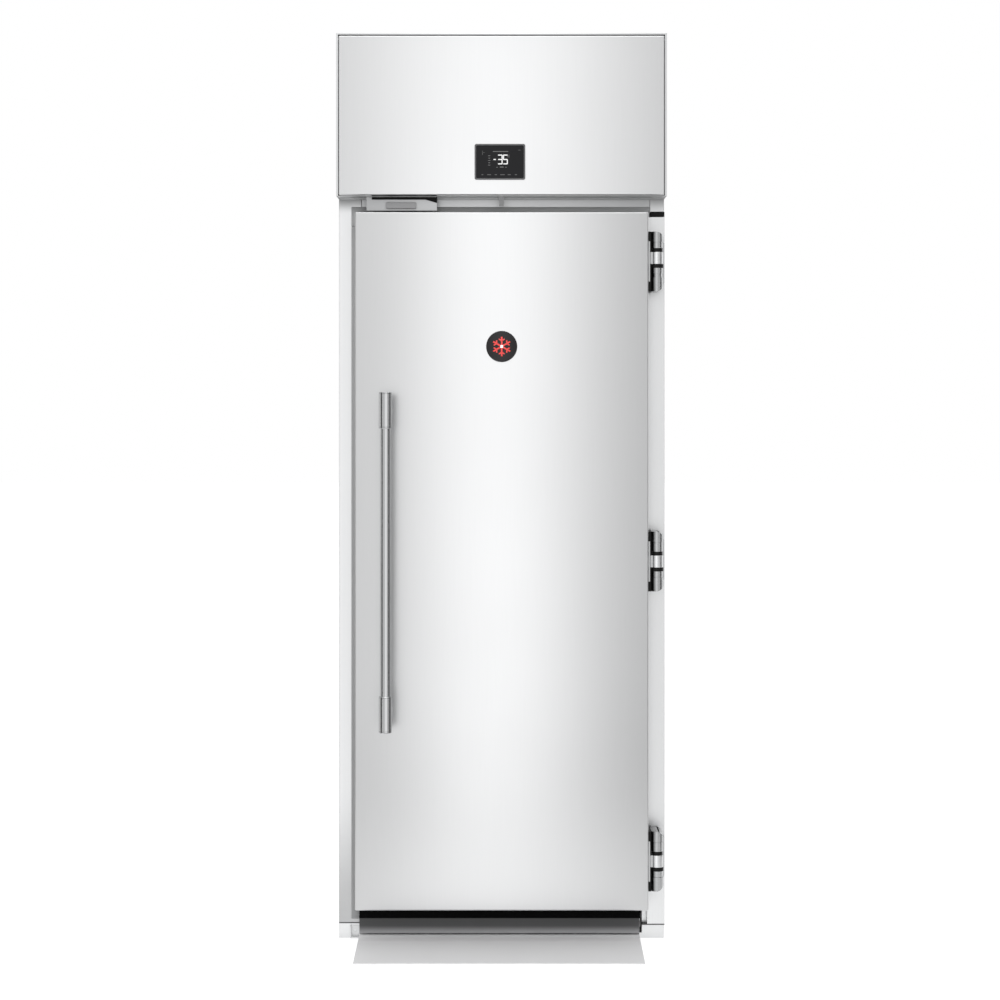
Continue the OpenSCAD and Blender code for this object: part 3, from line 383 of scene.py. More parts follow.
def round_off(piece, radius, segments, test):
    """Rounds the edges whose middle and direction pass a test, and ends editing."""
    edit(piece)
    pick(piece, "EDGE", test)
    bpy.ops.mesh.bevel(offset=radius, segments=segments, affect="EDGES")
    done_editing()


def open_sheet(name, low, high, facing_out):
    """Starts a folded sheet: a block in edit mode without its front (-1) or back (1) face."""
    piece = block(name, low, high)
    edit(piece)
    pick(piece, "FACE", lambda middle, facing: facing.y * facing_out > 0.9)
    bpy.ops.mesh.delete(type="FACE")
    return piece


def modify(piece, kind, **settings):
    """Adds a modifier to a piece and applies it."""
    changer = piece.modifiers.new(kind.lower(), kind)
    for name, value in settings.items():
        setattr(changer, name, value)
    choose(piece)
    bpy.ops.object.modifier_apply(modifier=changer.name)


def fit(piece, finish, body, slot, *stands_for):
    """Ends a piece: smooth rounded edges, its finish, and the body that carries it."""
    piece.data.materials.clear()
    piece.data.materials.append(finish)
    choose(piece)
    bpy.ops.object.shade_smooth_by_angle(angle=math.radians(35))
    modify(piece, "WEIGHTED_NORMAL", keep_sharp=True)
    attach(piece, body)
    if stands_for:
        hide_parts(*stands_for)
    return piece


steel_colour = (0.585, 0.588, 0.592)
sheet_t = 0.0015
fold_r = 0.0036
# Painted shade: the door's steel is painted darker towards the bottom of the door
door_steel = graded(brushed_steel("door_steel", steel_colour, 0.31), "Z", 0.75, 0.28, 1.0, 0.92)
low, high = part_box("door_skin")
door_face = low.y
skin = open_sheet("door_outer_sheet", low, high, 1)
round_off(skin, fold_r, 4, lambda middle, run: middle.y < high.y - 0.001)
modify(skin, "SOLIDIFY", thickness=sheet_t, offset=-1)
fit(skin, door_steel, "door", "stainless", "door_skin")
# a foamed door's face isn't quite flat, so its shading runs smoothly into its folds
bpy.ops.mesh.customdata_custom_splitnormals_clear()


# ==== Frame sheets ==============================================================================
# Jambs, header, hinge post cover and base panel: folded steel skins. Their edges are rounded where
# the sheet is folded, and the frame's steel is painted lighter than the door's, as painted light.


def softened(name, node, radius):
    """A copy of a node of the frame with its folds and cut edges rounded."""
    piece = bpy.data.objects.new(name, nodes[node].data.copy())
    scene.collection.objects.link(piece)
    edit(piece)
    bpy.ops.mesh.select_all(action="SELECT")
    bpy.ops.mesh.remove_doubles(threshold=0.00001)
    bpy.ops.mesh.dissolve_limited(angle_limit=math.radians(1))
    done_editing()
    modify(piece, "BEVEL", width=radius, segments=2, limit_method="ANGLE", angle_limit=math.radians(30),
           use_clamp_overlap=True)
    return piece


def rounded(name, node, radius, finish, body, slot):
    """A finished piece that is a node of the frame with its folds and cut edges rounded."""
    return fit(softened(name, node, radius), finish, body, slot, node)


# Painted light: the frame's steel is a lighter copy of the same stainless as the door
frame_steel = brushed_steel("frame_steel", (0.73, 0.735, 0.74), 0.33)
for node in ["right_jamb", "hinge_post", "floor_panel"]:
    rounded(node + "_sheet", node, 0.0012, frame_steel, "root", "stainless")
# Painted shade: all of them are painted darker under the cowl, and the left jamb also towards the floor
shade_start = 1.892
shade_end = 1.934
graded(frame_steel, "Z", shade_start, shade_end, 1.0, 0.5)
jamb_steel = graded(brushed_steel("jamb_steel", (0.73, 0.735, 0.74), 0.33), "Z", 0.05, 0.42, 0.62, 1.03)
graded(jamb_steel, "Z", shade_start, shade_end, 1.0, 0.38)
rounded("left_jamb_sheet", "left_jamb", 0.0012, jamb_steel, "root", "stainless")

# Folded edge of the post cover beside the door, which stops short of each hinge
door_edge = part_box("door_skin")[1].x
post_low, post_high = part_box("hinge_post")
leaf_low, leaf_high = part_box("hinge_leaves")
post_face_x = 0.388
hinge_half = 0.077
leaf_half = 0.052
hinge_mids = [leaf_low.z + leaf_half, (leaf_low.z + leaf_high.z) / 2, leaf_high.z - leaf_half]
stops = [z + side * (hinge_half + 0.002) for z in hinge_mids for side in (-1, 1)]
stops = [post_low.z] + stops + [post_high.z - 0.001]
for count in range(0, len(stops), 2):
    strip = block("post_edge_" + str(count // 2 + 1), (door_edge + 0.0016, post_low.y - 0.0006, stops[count]),
                  (post_face_x + 0.0035, post_low.y + 0.0012, stops[count + 1]))
    fit(strip, frame_steel, "root", "stainless")

# Header: a sheet with level grain, painted darker as painted shade under the cowl
header_steel = brushed_steel("header_steel", (0.43, 0.434, 0.438), 0.33, LEVEL)
rounded("header_sheet", "header_panel", 0.0012, header_steel, "root", "stainless")


def moulded(name, colour, roughness, scale=900.0, relief=0.08, contrast=0.06, metallic=0.0, specular=0.5):
    """Moulded plastic, rubber, paint or cast metal: a fine even texture and slight clouds of tone."""
    finish, tree, inputs = new_finish(name, metallic, specular)
    surface = add_node(tree, "Group", {"node_tree": moulded_effect}, Fineness=scale).outputs
    varied(tree, inputs, surface["Cloud"], surface["Speck"], colour, (1 - contrast, 1 + contrast),
           roughness, 0.05)
    embossed(tree, inputs, relief, surface["Speck"])
    return finish


moulded_effect, given, put_out = effect_group("moulded_surface", {"Fineness": "Float"}, ["Speck", "Cloud"])
place = add_node(moulded_effect, "TexCoord").outputs["Object"]
specks = add_node(moulded_effect, "TexNoise", Vector=place, Scale=given.outputs["Fineness"], Detail=2.0)
clouds = add_node(moulded_effect, "TexNoise", Vector=place, Scale=9.0, Detail=4.0)
moulded_effect.links.new(specks.outputs["Fac"], put_out.inputs["Speck"])
moulded_effect.links.new(clouds.outputs["Fac"], put_out.inputs["Cloud"])

# Dark sealant in the joint between the base and the jambs
seal_h = 0.003
base_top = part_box("left_jamb")[0].z
base_low, base_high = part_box("floor_panel")
jamb_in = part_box("left_jamb")[1].x
sealant = moulded("joint_sealant", (0.09, 0.09, 0.092), 0.6)
for side, name in [(-1, "left"), (1, "right")]:
    ends = sorted([side * (base_high.x - 0.0002), side * (-jamb_in - 0.0002)])
    front = post_low.y - 0.0007 if side > 0 else base_low.y - 0.0004
    bead = block("joint_sealant_" + name, (ends[0], front, base_top - seal_h / 2),
                 (ends[1], base_low.y + 0.004, base_top + seal_h / 2))
    fit(bead, sealant, "root", "black_rubber")

# Door surround: grey extruded profiles that the gasket closes on, butted at the top corners. The right
# one ends behind the door's lower edge.
surround_grey = moulded("surround_grey", (0.33, 0.333, 0.336), 0.5)
black_rubber = moulded("black_rubber", (0.004, 0.004, 0.004), 0.62, 1400.0, 0.15, specular=0.2)
surround = softened("surround_profiles", "door_surround", 0.0015)
right_bar_x = 0.34
bar_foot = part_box("door_surround")[0].z
right_bar_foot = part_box("door_skin")[0].z - 0.002
for corner in surround.data.vertices:
    if corner.co.x > right_bar_x and corner.co.z < bar_foot + 0.003:
        corner.co.z += right_bar_foot - bar_foot
fit(surround, surround_grey, "root", "surround", "door_surround")
rounded("post_end_strip", "post_end_seal", 0.0015, black_rubber, "root", "black_rubber")


# ==== Door inside ===============================================================================
# Inner liner: one pressed stainless tray whose middle stands out behind the door. The gasket is a
# grey bellows profile on three sides, with a magnet strip in its head.
liner_steel = brushed_steel("liner_steel", (0.66, 0.665, 0.67), 0.34)
plug_out = 0.014
plug_inset = 0.045
low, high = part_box("door_liner")
door_back = high.y - plug_out
rim_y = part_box("door_skin")[1].y
liner = open_sheet("door_inner_liner", (low.x, rim_y, low.z), (high.x, door_back, high.z), -1)
pick(liner, "FACE", lambda middle, facing: facing.y > 0.9)
bpy.ops.mesh.inset(thickness=plug_inset)
bpy.ops.mesh.extrude_region_move(TRANSFORM_OT_translate={"value": (0, plug_out, 0)})
bpy.ops.transform.resize(value=(0.985, 1, 0.994))
round_off(liner, 0.004, 3, lambda middle, run: middle.y > rim_y + 0.001)
modify(liner, "SOLIDIFY", thickness=0.0012, offset=-1)
fit(liner, liner_steel, "door", "liner_steel", "door_liner")

gasket_grey = moulded("gasket_grey", (0.055, 0.057, 0.06), 0.55)
low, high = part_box("door_gasket")
gasket_w = 0.020
bars = [("door_gasket_left", (low.x, low.y, low.z), (low.x + gasket_w, high.y, high.z)),
        ("door_gasket_right", (high.x - gasket_w, low.y, low.z), (high.x, high.y, high.z)),
        ("door_gasket_top", (low.x, low.y, high.z - gasket_w), (high.x, high.y, high.z))]
for name, start, end in bars:
    bar = block(name, start, end)
    across = 2 if name.endswith("top") else 0
    edit(bar)
    pick(bar, "FACE", lambda middle, facing: abs(facing[across]) > 0.9)
    bpy.ops.mesh.inset(thickness=0.0028)
    bpy.ops.transform.shrink_fatten(value=-0.005)
    round_off(bar, 0.001, 2, lambda middle, run: abs(run[2 - across]) > 0.9)
    shape = bar.data
    for corner in shape.vertices:  # mitred where the bars meet at the top corners
        from_side = min(corner.co.x - low.x, high.x - corner.co.x)
        from_top = high.z - corner.co.z
        if across == 0 and from_top < gasket_w:
            corner.co.z = high.z - from_side - 0.0001
        if across == 2 and from_side < gasket_w:
            side = -1 if corner.co.x < 0 else 1
            edge = low.x if side < 0 else high.x
            corner.co.x = edge - side * from_top
    fit(bar, gasket_grey, "door", "gasket_rubber", *(["door_gasket"] if across == 2 else []))

# Sweep under the door: a black carrier with its foot and clamp bar, and the grey blade that hangs in it,
# with painted shade at its top and painted light towards its lower edge. It sits a little to the left.
low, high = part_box("door_sweep")
low.x -= 0.004
high.x -= 0.002
door_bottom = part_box("door_skin")[0].z
carrier_z = 0.058
carrier_t = 0.012
blade_t = 0.004
carrier = block("sweep_carrier", (low.x, high.y - carrier_t, carrier_z),
                (high.x, high.y, door_bottom - 0.003))
round_off(carrier, 0.0015, 2, lambda middle, run: abs(run.x) > 0.9)
foot = block("sweep_foot", (low.x, low.y, door_bottom - 0.004), high)
clamp = block("sweep_clamp_bar", (low.x, low.y + 0.004, door_bottom - 0.007),
              (high.x, high.y - carrier_t - 0.004, door_bottom - 0.0035))
blade_y = high.y - carrier_t / 2
blade = block("sweep_blade", (low.x, blade_y - blade_t / 2, low.z),
              (high.x - 0.002, blade_y + blade_t / 2, carrier_z + 0.004))
blade_grey = moulded("blade_grey", (0.085, 0.085, 0.087), 0.5, 1400.0, 0.15)
# Painted shade and light: the blade is painted darker at its top and lighter towards its lower edge
graded(blade_grey, "Z", 0.040, 0.020, 0.6, 3.0)
sweep_black = moulded("sweep_black", (0.002, 0.002, 0.002), 0.7, 1400.0, 0.15, specular=0.05)
fit(carrier, sweep_black, "door", "black_rubber", "door_sweep")
fit(foot, sweep_black, "door", "black_rubber")
fit(clamp, sweep_black, "door", "black_rubber")
fit(blade, blade_grey, "door", "black_rubber")


def dress(finish, *names):
    """Gives nodes of the frame a finish."""
    for name in names:
        for slot in nodes[name].material_slots:
            slot.material = finish


# Foam core of the door, whose raised middle narrows as the liner's does
foam = moulded("polyurethane_foam", (0.78, 0.62, 0.30), 0.85, 500.0, 0.5)
plug_slope = 0.007
low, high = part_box("door_foam")
core = softened("door_foam_core", "door_foam", 0.002)
for corner in core.data.vertices:
    if corner.co.y > high.y - 0.003:
        corner.co.x += plug_slope if corner.co.x < (low.x + high.x) / 2 else -plug_slope
        corner.co.z += plug_slope if corner.co.z < (low.z + high.z) / 2 else -plug_slope
fit(core, foam, "door", "foam", "door_foam")
dress(foam, "panel_foam")


# ==== Handle ====================================================================================
# A long satin stainless tube, Ø27, whose ends sit in turned collars. Each collar has a post that is
# screwed through the door.


def thread(name, points):
    """Starts a piece as a chain of points, and leaves it in edit mode."""
    bpy.ops.mesh.primitive_plane_add(size=0.001, location=points[0])
    piece = bpy.context.object
    piece.name = name
    bpy.ops.object.transform_apply(location=True, rotation=True, scale=True)
    edit(piece)
    bpy.ops.mesh.select_mode(type="VERT")
    bpy.ops.mesh.select_all(action="SELECT")
    bpy.ops.mesh.merge(type="CENTER")
    for a, b in zip(points, points[1:]):
        bpy.ops.mesh.extrude_vertices_move(TRANSFORM_OT_translate={"value": b - a})
    return piece


def turned(name, profile, foot, axis, steps=48):
    """A piece turned on a lathe. Its profile is (radius, height) points along an axis from a foot."""
    axis = Vector(axis).normalized()
    side = axis.orthogonal().normalized()
    piece = thread(name, [Vector(foot) + side * r + axis * h for r, h in profile])
    bpy.ops.mesh.select_all(action="SELECT")
    bpy.ops.mesh.spin(steps=steps, angle=2 * math.pi, center=foot, axis=axis)
    bpy.ops.mesh.select_all(action="SELECT")
    bpy.ops.mesh.remove_doubles(threshold=0.00001)
    bpy.ops.mesh.normals_make_consistent(inside=False)
    done_editing()
    return piece


def eased(radius, height, ease):
    """Profile points of a plain bar whose two ends are rounded."""
    turn = [math.radians(a) for a in (0, 30, 60, 90)]
    foot = [(radius - ease + ease * math.sin(a), ease - ease * math.cos(a)) for a in turn]
    top = [(r, height - h) for r, h in reversed(foot)]
    return [(0, 0)] + foot + top + [(0, height)]


handle_steel = brushed_steel("handle_steel", (0.43, 0.433, 0.437), 0.2, (700.0, 700.0, 5.0), 0.03)
low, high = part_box("handle_tube")
tube_r = (high.x - low.x) / 2
tube_x = (low.x + high.x) / 2
tube_y = (low.y + high.y) / 2
tube = turned("handle_bar", eased(tube_r, high.z - low.z, 0.0015), (tube_x, tube_y, low.z), (0, 0, 1), 64)
fit(tube, handle_steel, "door", "handle_steel", "handle_tube")

low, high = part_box("handle_mounts")
collar_r = (high.x - low.x) / 2
collar_l = 0.093
post_r = 0.010
collar_profile = [(tube_r, 0.0006), (collar_r - 0.0012, 0), (collar_r, 0.0012), (collar_r, 0.0035),
                  (collar_r - 0.0006, 0.0041), (collar_r, 0.0047), (collar_r, collar_l - 0.0047),
                  (collar_r - 0.0006, collar_l - 0.0041), (collar_r, collar_l - 0.0035),
                  (collar_r, collar_l - 0.0012), (collar_r - 0.0012, collar_l), (tube_r, collar_l - 0.0006)]
for name, foot_z in [("lower", low.z), ("upper", high.z - collar_l)]:
    collar = turned("handle_collar_" + name, collar_profile, (tube_x, tube_y, foot_z), (0, 0, 1), 64)
    fit(collar, handle_steel, "door", "handle_steel", *(["handle_mounts"] if name == "lower" else []))
    middle = foot_z + collar_l / 2
    reach = door_face - tube_y
    post_profile = [(0, collar_r - 0.002), (post_r, collar_r - 0.002), (post_r, reach - 0.005),
                    (post_r + 0.003, reach - 0.0045), (post_r + 0.004, reach - 0.0035),
                    (post_r + 0.004, reach - 0.0004), (0, reach - 0.0004)]
    post = turned("handle_post_" + name, post_profile, (tube_x, tube_y, middle), (0, 1, 0), 40)
    fit(post, handle_steel, "door", "handle_steel")


# ==== Badge =====================================================================================
# A black domed emblem with a plain six-armed frost star printed in red under the resin, and a small
# white dot at its middle.
badge_low, badge_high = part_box("door_badge")
badge_x = (badge_low.x + badge_high.x) / 2
badge_z = (badge_low.z + badge_high.z) / 2
badge_r = (badge_high.x - badge_low.x) / 2
badge_out = badge_high.y - badge_low.y
rim_h = 0.003
bulge = badge_out - rim_h
dome_r = ((badge_r - 0.002) ** 2 + bulge ** 2) / (2 * bulge)
dome = [(dome_r * math.sin(a), badge_out - dome_r * (1 - math.cos(a)))
        for a in [math.asin((badge_r - 0.002) / dome_r) * i / 14 for i in range(14, -1, -1)]]
badge_profile = [(0, 0), (badge_r - 0.0004, 0), (badge_r, 0.0004), (badge_r, rim_h - 0.0006),
                 (badge_r - 0.0006, rim_h)] + dome
badge = turned("badge_dome", badge_profile, (badge_x, badge_high.y, badge_z), (0, -1, 0), 72)
badge_black = moulded("badge_black", (0.008, 0.007, 0.008), 0.12, 200.0, 0.01, 0.1, specular=0.25)
fit(badge, badge_black, "door", "badge_black", "door_badge")


def dome_y(x, z):
    """Depth of the badge's dome at a point."""
    off = math.hypot(x - badge_x, z - badge_z)
    return badge_high.y - (badge_out - dome_r + math.sqrt(dome_r ** 2 - off ** 2))


def joined(name, parts):
    """Joins the parts of one piece."""
    choose(*parts)
    bpy.ops.object.join()
    piece = bpy.context.object
    piece.name = name
    return piece


def printed(name, strips, finish, lift=0.00008):
    """Flat printed bars laid on the dome. A strip is its two ends and its width, about the middle."""
    parts = []
    for (x0, z0), (x1, z1), width in strips:
        run = Vector((x1 - x0, 0, z1 - z0))
        bpy.ops.mesh.primitive_grid_add(x_subdivisions=10, y_subdivisions=2, size=1)
        part = bpy.context.object
        turn = math.atan2(run.z, run.x)
        for corner in part.data.vertices:
            along, across = corner.co.x * run.length, corner.co.y * width
            x = badge_x + (x0 + x1) / 2 + along * math.cos(turn) - across * math.sin(turn)
            z = badge_z + (z0 + z1) / 2 + along * math.sin(turn) + across * math.cos(turn)
            corner.co = (x, dome_y(x, z) - lift, z)
        parts.append(part)
    piece = joined(name, parts)
    edit(piece)
    bpy.ops.mesh.select_all(action="SELECT")
    bpy.ops.mesh.normals_make_consistent(inside=False)
    done_editing()
    if sum(face.normal.y for face in piece.data.polygons) > 0:
        piece.data.flip_normals()
    return fit(piece, finish, "door", "badge_black")


star_r = 0.025
star_red = moulded("badge_red", (0.62, 0.035, 0.03), 0.3, 300.0, 0.02)
star = []
for arm in range(6):
    angle = math.radians(30 + 60 * arm)
    out = Vector((math.cos(angle), math.sin(angle)))
    star.append(((0, 0), tuple(out * star_r), 0.0042))
    for side in (-1, 1):
        branch = angle + side * math.radians(60)
        leg = Vector((math.cos(branch), math.sin(branch))) * 0.0085
        knot = out * 0.0150
        star.append((tuple(knot), tuple(knot + leg), 0.0034))
printed("badge_frost_star", star, star_red)
dot_white = moulded("badge_white", (0.9, 0.9, 0.9), 0.3, 300.0, 0.02)
dot = [((-0.0035, 0), (0.0035, 0), 0.0060), ((0, -0.0035), (0, 0.0035), 0.0060)]
printed("badge_dot", dot, dot_white, 0.0002)


# ==== Hinges ====================================================================================
# Three rising hinges: chromed brackets on the post, chromed leaves on the door edge under black
# covers that are partly painted shade for the gap beside them, black bushes between the knuckles and plain
# steel pins.
chrome = moulded("hinge_chrome", (0.46, 0.465, 0.47), 0.26, 700.0, 0.03, 0.03, metallic=1.0)
# Painted shade: the brackets' chrome and the leaves are painted darker towards the door's edge
graded(chrome, "X", 0.389, 0.408, 0.40, 1.05)
hinge_steel = brushed_steel("hinge_steel", (0.42, 0.425, 0.43), 0.3)
leaf_steel = graded(brushed_steel("leaf_steel", (0.58, 0.584, 0.59), 0.35), "X", 0.388, 0.402, 0.8, 1.15)
black_plastic = moulded("black_plastic", (0.005, 0.005, 0.005), 0.5, 800.0, 0.06, specular=0.15)
top_raise = 0.009
knuckle_reach = 0.040


def hinge_copy(name, node, radius):
    """A softened copy. The highest hinge's knuckles sit higher, as its upper arm is the shorter one."""
    piece = softened(name, node, radius)
    for corner in piece.data.vertices:
        if abs(corner.co.z - hinge_mids[2]) < knuckle_reach:
            corner.co.z += top_raise
    return piece


# The brackets' back plates lose their outer corners, which would show past the round caps
back_plate_t = 0.0055
cut_x = 0.405
cut_h = 0.026
castings = hinge_copy("hinge_bracket_castings", "hinge_brackets", 0.0009)
for corner in castings.data.vertices:
    mid = min(hinge_mids, key=lambda z: abs(z - corner.co.z))
    at_end = abs(corner.co.z - mid) > hinge_half - 0.002
    if at_end and corner.co.x > cut_x and corner.co.y > post_low.y - back_plate_t:
        corner.co.z += cut_h if corner.co.z < mid else -cut_h
fit(castings, chrome, "root", "hinge_chrome", "hinge_brackets")
leaves = hinge_copy("hinge_leaf_plates", "hinge_leaves", 0.0009)
fit(leaves, leaf_steel, "door", "hinge_steel", "hinge_leaves")
# The black leaf covers are partly painted shade: they also darken the shadow gap between the leaves and the
# caps
covers = hinge_copy("hinge_leaf_covers", "hinge_trims", 0.0007)
fit(covers, black_plastic, "door", "black_plastic", "hinge_trims")
bushes = hinge_copy("hinge_bush_rings", "hinge_bushes", 0.0007)
fit(bushes, black_plastic, "root", "black_plastic", "hinge_bushes")
dress(hinge_steel, "hinge_pins")


# ==== Cowl ======================================================================================
# Machine compartment on the roof: a folded front that hinges up for service, two side casings with
# slots, a top cover and a slotted rear panel.
cowl_steel = brushed_steel("cowl_steel", steel_colour, 0.32)
low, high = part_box("cowl_front")
front = open_sheet("cowl_front_panel", low, high, 1)
pick(front, "EDGE", lambda middle, run: middle.z > high.z - 0.001 and middle.y > high.y - 0.001)
bpy.ops.transform.translate(value=(0, -0.010, 0))
round_off(front, fold_r, 4, lambda middle, run: middle.y < high.y - 0.001
          and (abs(run.y) >= 0.8 or middle.y <= low.y + 0.003))
modify(front, "SOLIDIFY", thickness=sheet_t, offset=-1)
fit(front, cowl_steel, "cowl", "stainless", "cowl_front")

casing_steel = brushed_steel("casing_steel", (0.62, 0.625, 0.63), 0.32)
for node in ["left_casing", "right_casing", "top_cover", "rear_grille"]:
    sheet = softened(node + "_sheet", node, 0.0005)
    for corner in sheet.data.vertices:
        corner.co.x = min(corner.co.x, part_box(node)[1].x)
    fit(sheet, casing_steel, "root", "stainless", node)
# Painted shade: the soffit's underside is painted darker than the casings
soffit_steel = brushed_steel("soffit_steel", (0.52, 0.523, 0.526), 0.36, LEVEL)
rounded("soffit_sheet", "cowl_soffit", 0.0005, soffit_steel, "root", "bracket_steel")


# Display: black glass in a thin grey bezel, with the set temperature in large white digits
bezel_grey = moulded("bezel_grey", (0.06, 0.06, 0.062), 0.4)
glass_black = moulded("display_glass", (0.004, 0.004, 0.005), 0.09, 60.0, 0.0, 0.1, specular=0.15)
rounded("display_bezel_frame", "display_bezel", 0.0007, bezel_grey, "cowl", "black_plastic")
rounded("display_cover_glass", "display_glass", 0.0004, glass_black, "cowl", "display_glass")


def lit_mark(name, colour, strength):
    """A lit sign behind the display glass, a little uneven as a real backlight is."""
    finish, tree, inputs = new_finish(name)
    even = add_node(tree, "TexNoise", Vector=add_node(tree, "TexCoord").outputs["Object"], Scale=120.0)
    tone = mixed(tree, even.outputs["Fac"], shade_of(colour, 0.9), shade_of(colour, 1.0))
    feed(tree, inputs["Base Color"], (0.01, 0.01, 0.01, 1))
    feed(tree, inputs["Emission Color"], tone)
    feed(tree, inputs["Emission Strength"], strength)
    return finish


glass_low, glass_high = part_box("display_glass")
sign_x = (glass_low.x + glass_high.x) / 2
sign_z = (glass_low.z + glass_high.z) / 2
sign_y = glass_low.y


def swung(part, middle, degrees):
    """Turns a part about the front-to-back line through a point."""
    part.data.transform(Matrix.Translation(middle) @ Matrix.Rotation(math.radians(degrees), 4, "Y")
                        @ Matrix.Translation(-middle))
    return part


def sign(name, bars, finish):
    """Signs on the display: each bar is its middle, its length, its width and its turn in degrees."""
    parts = []
    for x, z, length, width, turn in bars:
        middle = Vector((sign_x + x, sign_y, sign_z + z))
        size = Vector((length / 2, 0.0001, width / 2))
        part = block(name, middle - size, middle + size)
        round_off(part, min(length, width) * 0.42, 2, lambda middle, run: abs(run.y) > 0.9)
        parts.append(swung(part, middle, turn))
    return fit(joined(name, parts), finish, "cowl", "display_glass")


digit_w = 0.0100
digit_h = 0.0225
stroke = 0.0028
SEGMENTS = {"top": (0, 0.5, 1), "middle": (0, 0, 1), "bottom": (0, -0.5, 1), "upper_left": (-0.5, 0.25, 0),
            "upper_right": (0.5, 0.25, 0), "lower_left": (-0.5, -0.25, 0), "lower_right": (0.5, -0.25, 0)}
NUMERALS = {"3": ["top", "middle", "bottom", "upper_right", "lower_right"],
            "5": ["top", "middle", "bottom", "upper_left", "lower_right"]}
digit_z = 0.0060
digits = [(-0.0135, digit_z, 0.0065, stroke, 0)]
for numeral, x in [("3", 0.0005), ("5", 0.0140)]:
    for label in NUMERALS[numeral]:
        dx, dz, flat = SEGMENTS[label]
        length = digit_w if flat else digit_h / 2
        digits.append((x + dx * digit_w, digit_z + dz * digit_h, length + stroke * 0.4, stroke,
                       0 if flat else 90))
sign("display_digits", digits, lit_mark("digit_white", (1.0, 1.0, 1.0), 0.95))
dim_white = lit_mark("mark_grey", (1.0, 1.0, 1.0), 0.13)
marks = [(0.0015, 0.0265, 0.040, 0.0018, 0)]
marks += [(-0.0275, 0.0155 - 0.006 * i, 0.006 - 0.001 * (i % 2), 0.0016, 0) for i in range(5)]
marks += [(0.0225, 0.0170, 0.005, 0.0012, 0), (0.0225, 0.0125, 0.005, 0.0012, 0),
          (0.0200, 0.01475, 0.0045, 0.0012, 90)]
marks += [(0.0045, -0.0135, 0.010, 0.0022, 0), (0.0155, -0.0140, 0.004, 0.0016, 0),
          (-0.0075, -0.0140, 0.004, 0.0016, 0)]
sign("display_marks", marks, dim_white)
keys = []
for i, width in enumerate([0.005, 0.010, 0.006, 0.012, 0.008, 0.006]):
    keys.append((-0.0450 + 0.0172 * i, -0.0330, width, 0.0022, 0))
keys += [(-0.0450, 0.0270, 0.003, 0.0014, 90), (-0.0450, 0.0210, 0.007, 0.0014, 90),
         (-0.0415, 0.0235, 0.004, 0.0012, 0)]
keys += [(0.0500, 0.0300, 0.006, 0.0014, 0)]
sign("display_keys", keys, lit_mark("key_grey", (1.0, 1.0, 1.0), 0.07))

# Parts under and behind the cowl's front
bracket_steel = brushed_steel("bracket_steel", (0.62, 0.625, 0.63), 0.35, LEVEL)
catch_steel = brushed_steel("catch_steel", (0.17, 0.172, 0.174), 0.35)
rounded("cowl_catch_plate", "cowl_catch", 0.0004, catch_steel, "root", "bracket_steel")
dress(hinge_steel, "cowl_pins")


# ==== Door switch ===============================================================================
# Grey moulded switch on a steel plate that hangs from the soffit, and the black duct of its cable
# behind the plate.
switch_x = -0.260
switch_w = 0.078
switch_out = 0.013
low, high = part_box("switch_bracket")
plate = softened("switch_bracket_plate", "switch_bracket", 0.0005)
for corner in plate.data.vertices:
    if corner.co.z < low.z + 0.001:
        corner.co.z -= 0.0015
# Painted shade: the plate's steel is a darker copy of the brackets' steel, for the shade under the cowl
plate_steel = brushed_steel("plate_steel", (0.38, 0.384, 0.388), 0.35, LEVEL)
fit(plate, plate_steel, "root", "bracket_steel", "switch_bracket")
low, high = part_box("door_switch")
switch = block("door_switch_body", (switch_x - switch_w / 2, low.y, low.z + 0.0035),
               (switch_x + switch_w / 2, low.y + switch_out, low.z + 0.020))
round_off(switch, 0.0025, 3, lambda middle, run: abs(run.y) > 0.9)
round_off(switch, 0.0008, 2, lambda middle, run: middle.y < low.y + 0.001)
switch_grey = moulded("switch_grey", (0.25, 0.25, 0.254), 0.5)
fit(switch, switch_grey, "root", "switch_plastic", "door_switch")
duct = block("switch_cable_duct", (low.x, low.y + switch_out + 0.002, high.z - 0.018), high)
fit(duct, black_rubber, "root", "black_rubber")


# ==== Ramp ======================================================================================
# Folded entry ramp in rolled plate with a matt surface, held by a small angle at its left end.
# Painted light makes it lighter towards the door, where the door shades it.
ramp_steel = moulded("ramp_plate", (0.66, 0.66, 0.665), 0.55, 300.0, 0.05, 0.03, metallic=0.2)
# Painted light: the ramp is painted lighter towards the door
graded(ramp_steel, "Y", -0.52, -0.40, 1.0, 1.45)
rounded("ramp_folded_plate", "ramp", 0.0006, ramp_steel, "root", "stainless")
rounded("ramp_lug_angle", "ramp_lug", 0.0006, bracket_steel, "root", "bracket_steel")


# ==== Cell ======================================================================================
# Foamed wall and roof panels in stainless skins, with bumper rails and the socket of the core probe.
cell_steel = brushed_steel("cell_steel", (0.62, 0.625, 0.63), 0.3)
for node in ["left_wall", "right_wall", "rear_wall", "roof_panel"]:
    rounded(node + "_sheet", node, 0.001, cell_steel, "root", "stainless")
rounded("bumper_rail_sections", "bumper_rails", 0.0008, liner_steel, "root", "liner_steel")
rounded("probe_socket_body", "probe_socket", 0.0008, black_plastic, "root", "black_plastic")


# ==== Air circulation ===========================================================================
# Galvanised fan panel with three axial fans and their welded guards, the finned evaporator behind
# it, and the drip tray with its drain.
spangle_effect, given, put_out = effect_group("zinc_spangle", {"Size": "Float"}, ["Tone"])
place = add_node(spangle_effect, "TexCoord").outputs["Object"]
cells = add_node(spangle_effect, "TexVoronoi", Vector=place, Scale=given.outputs["Size"])
spangle_effect.links.new(cells.outputs["Color"], put_out.inputs["Tone"])


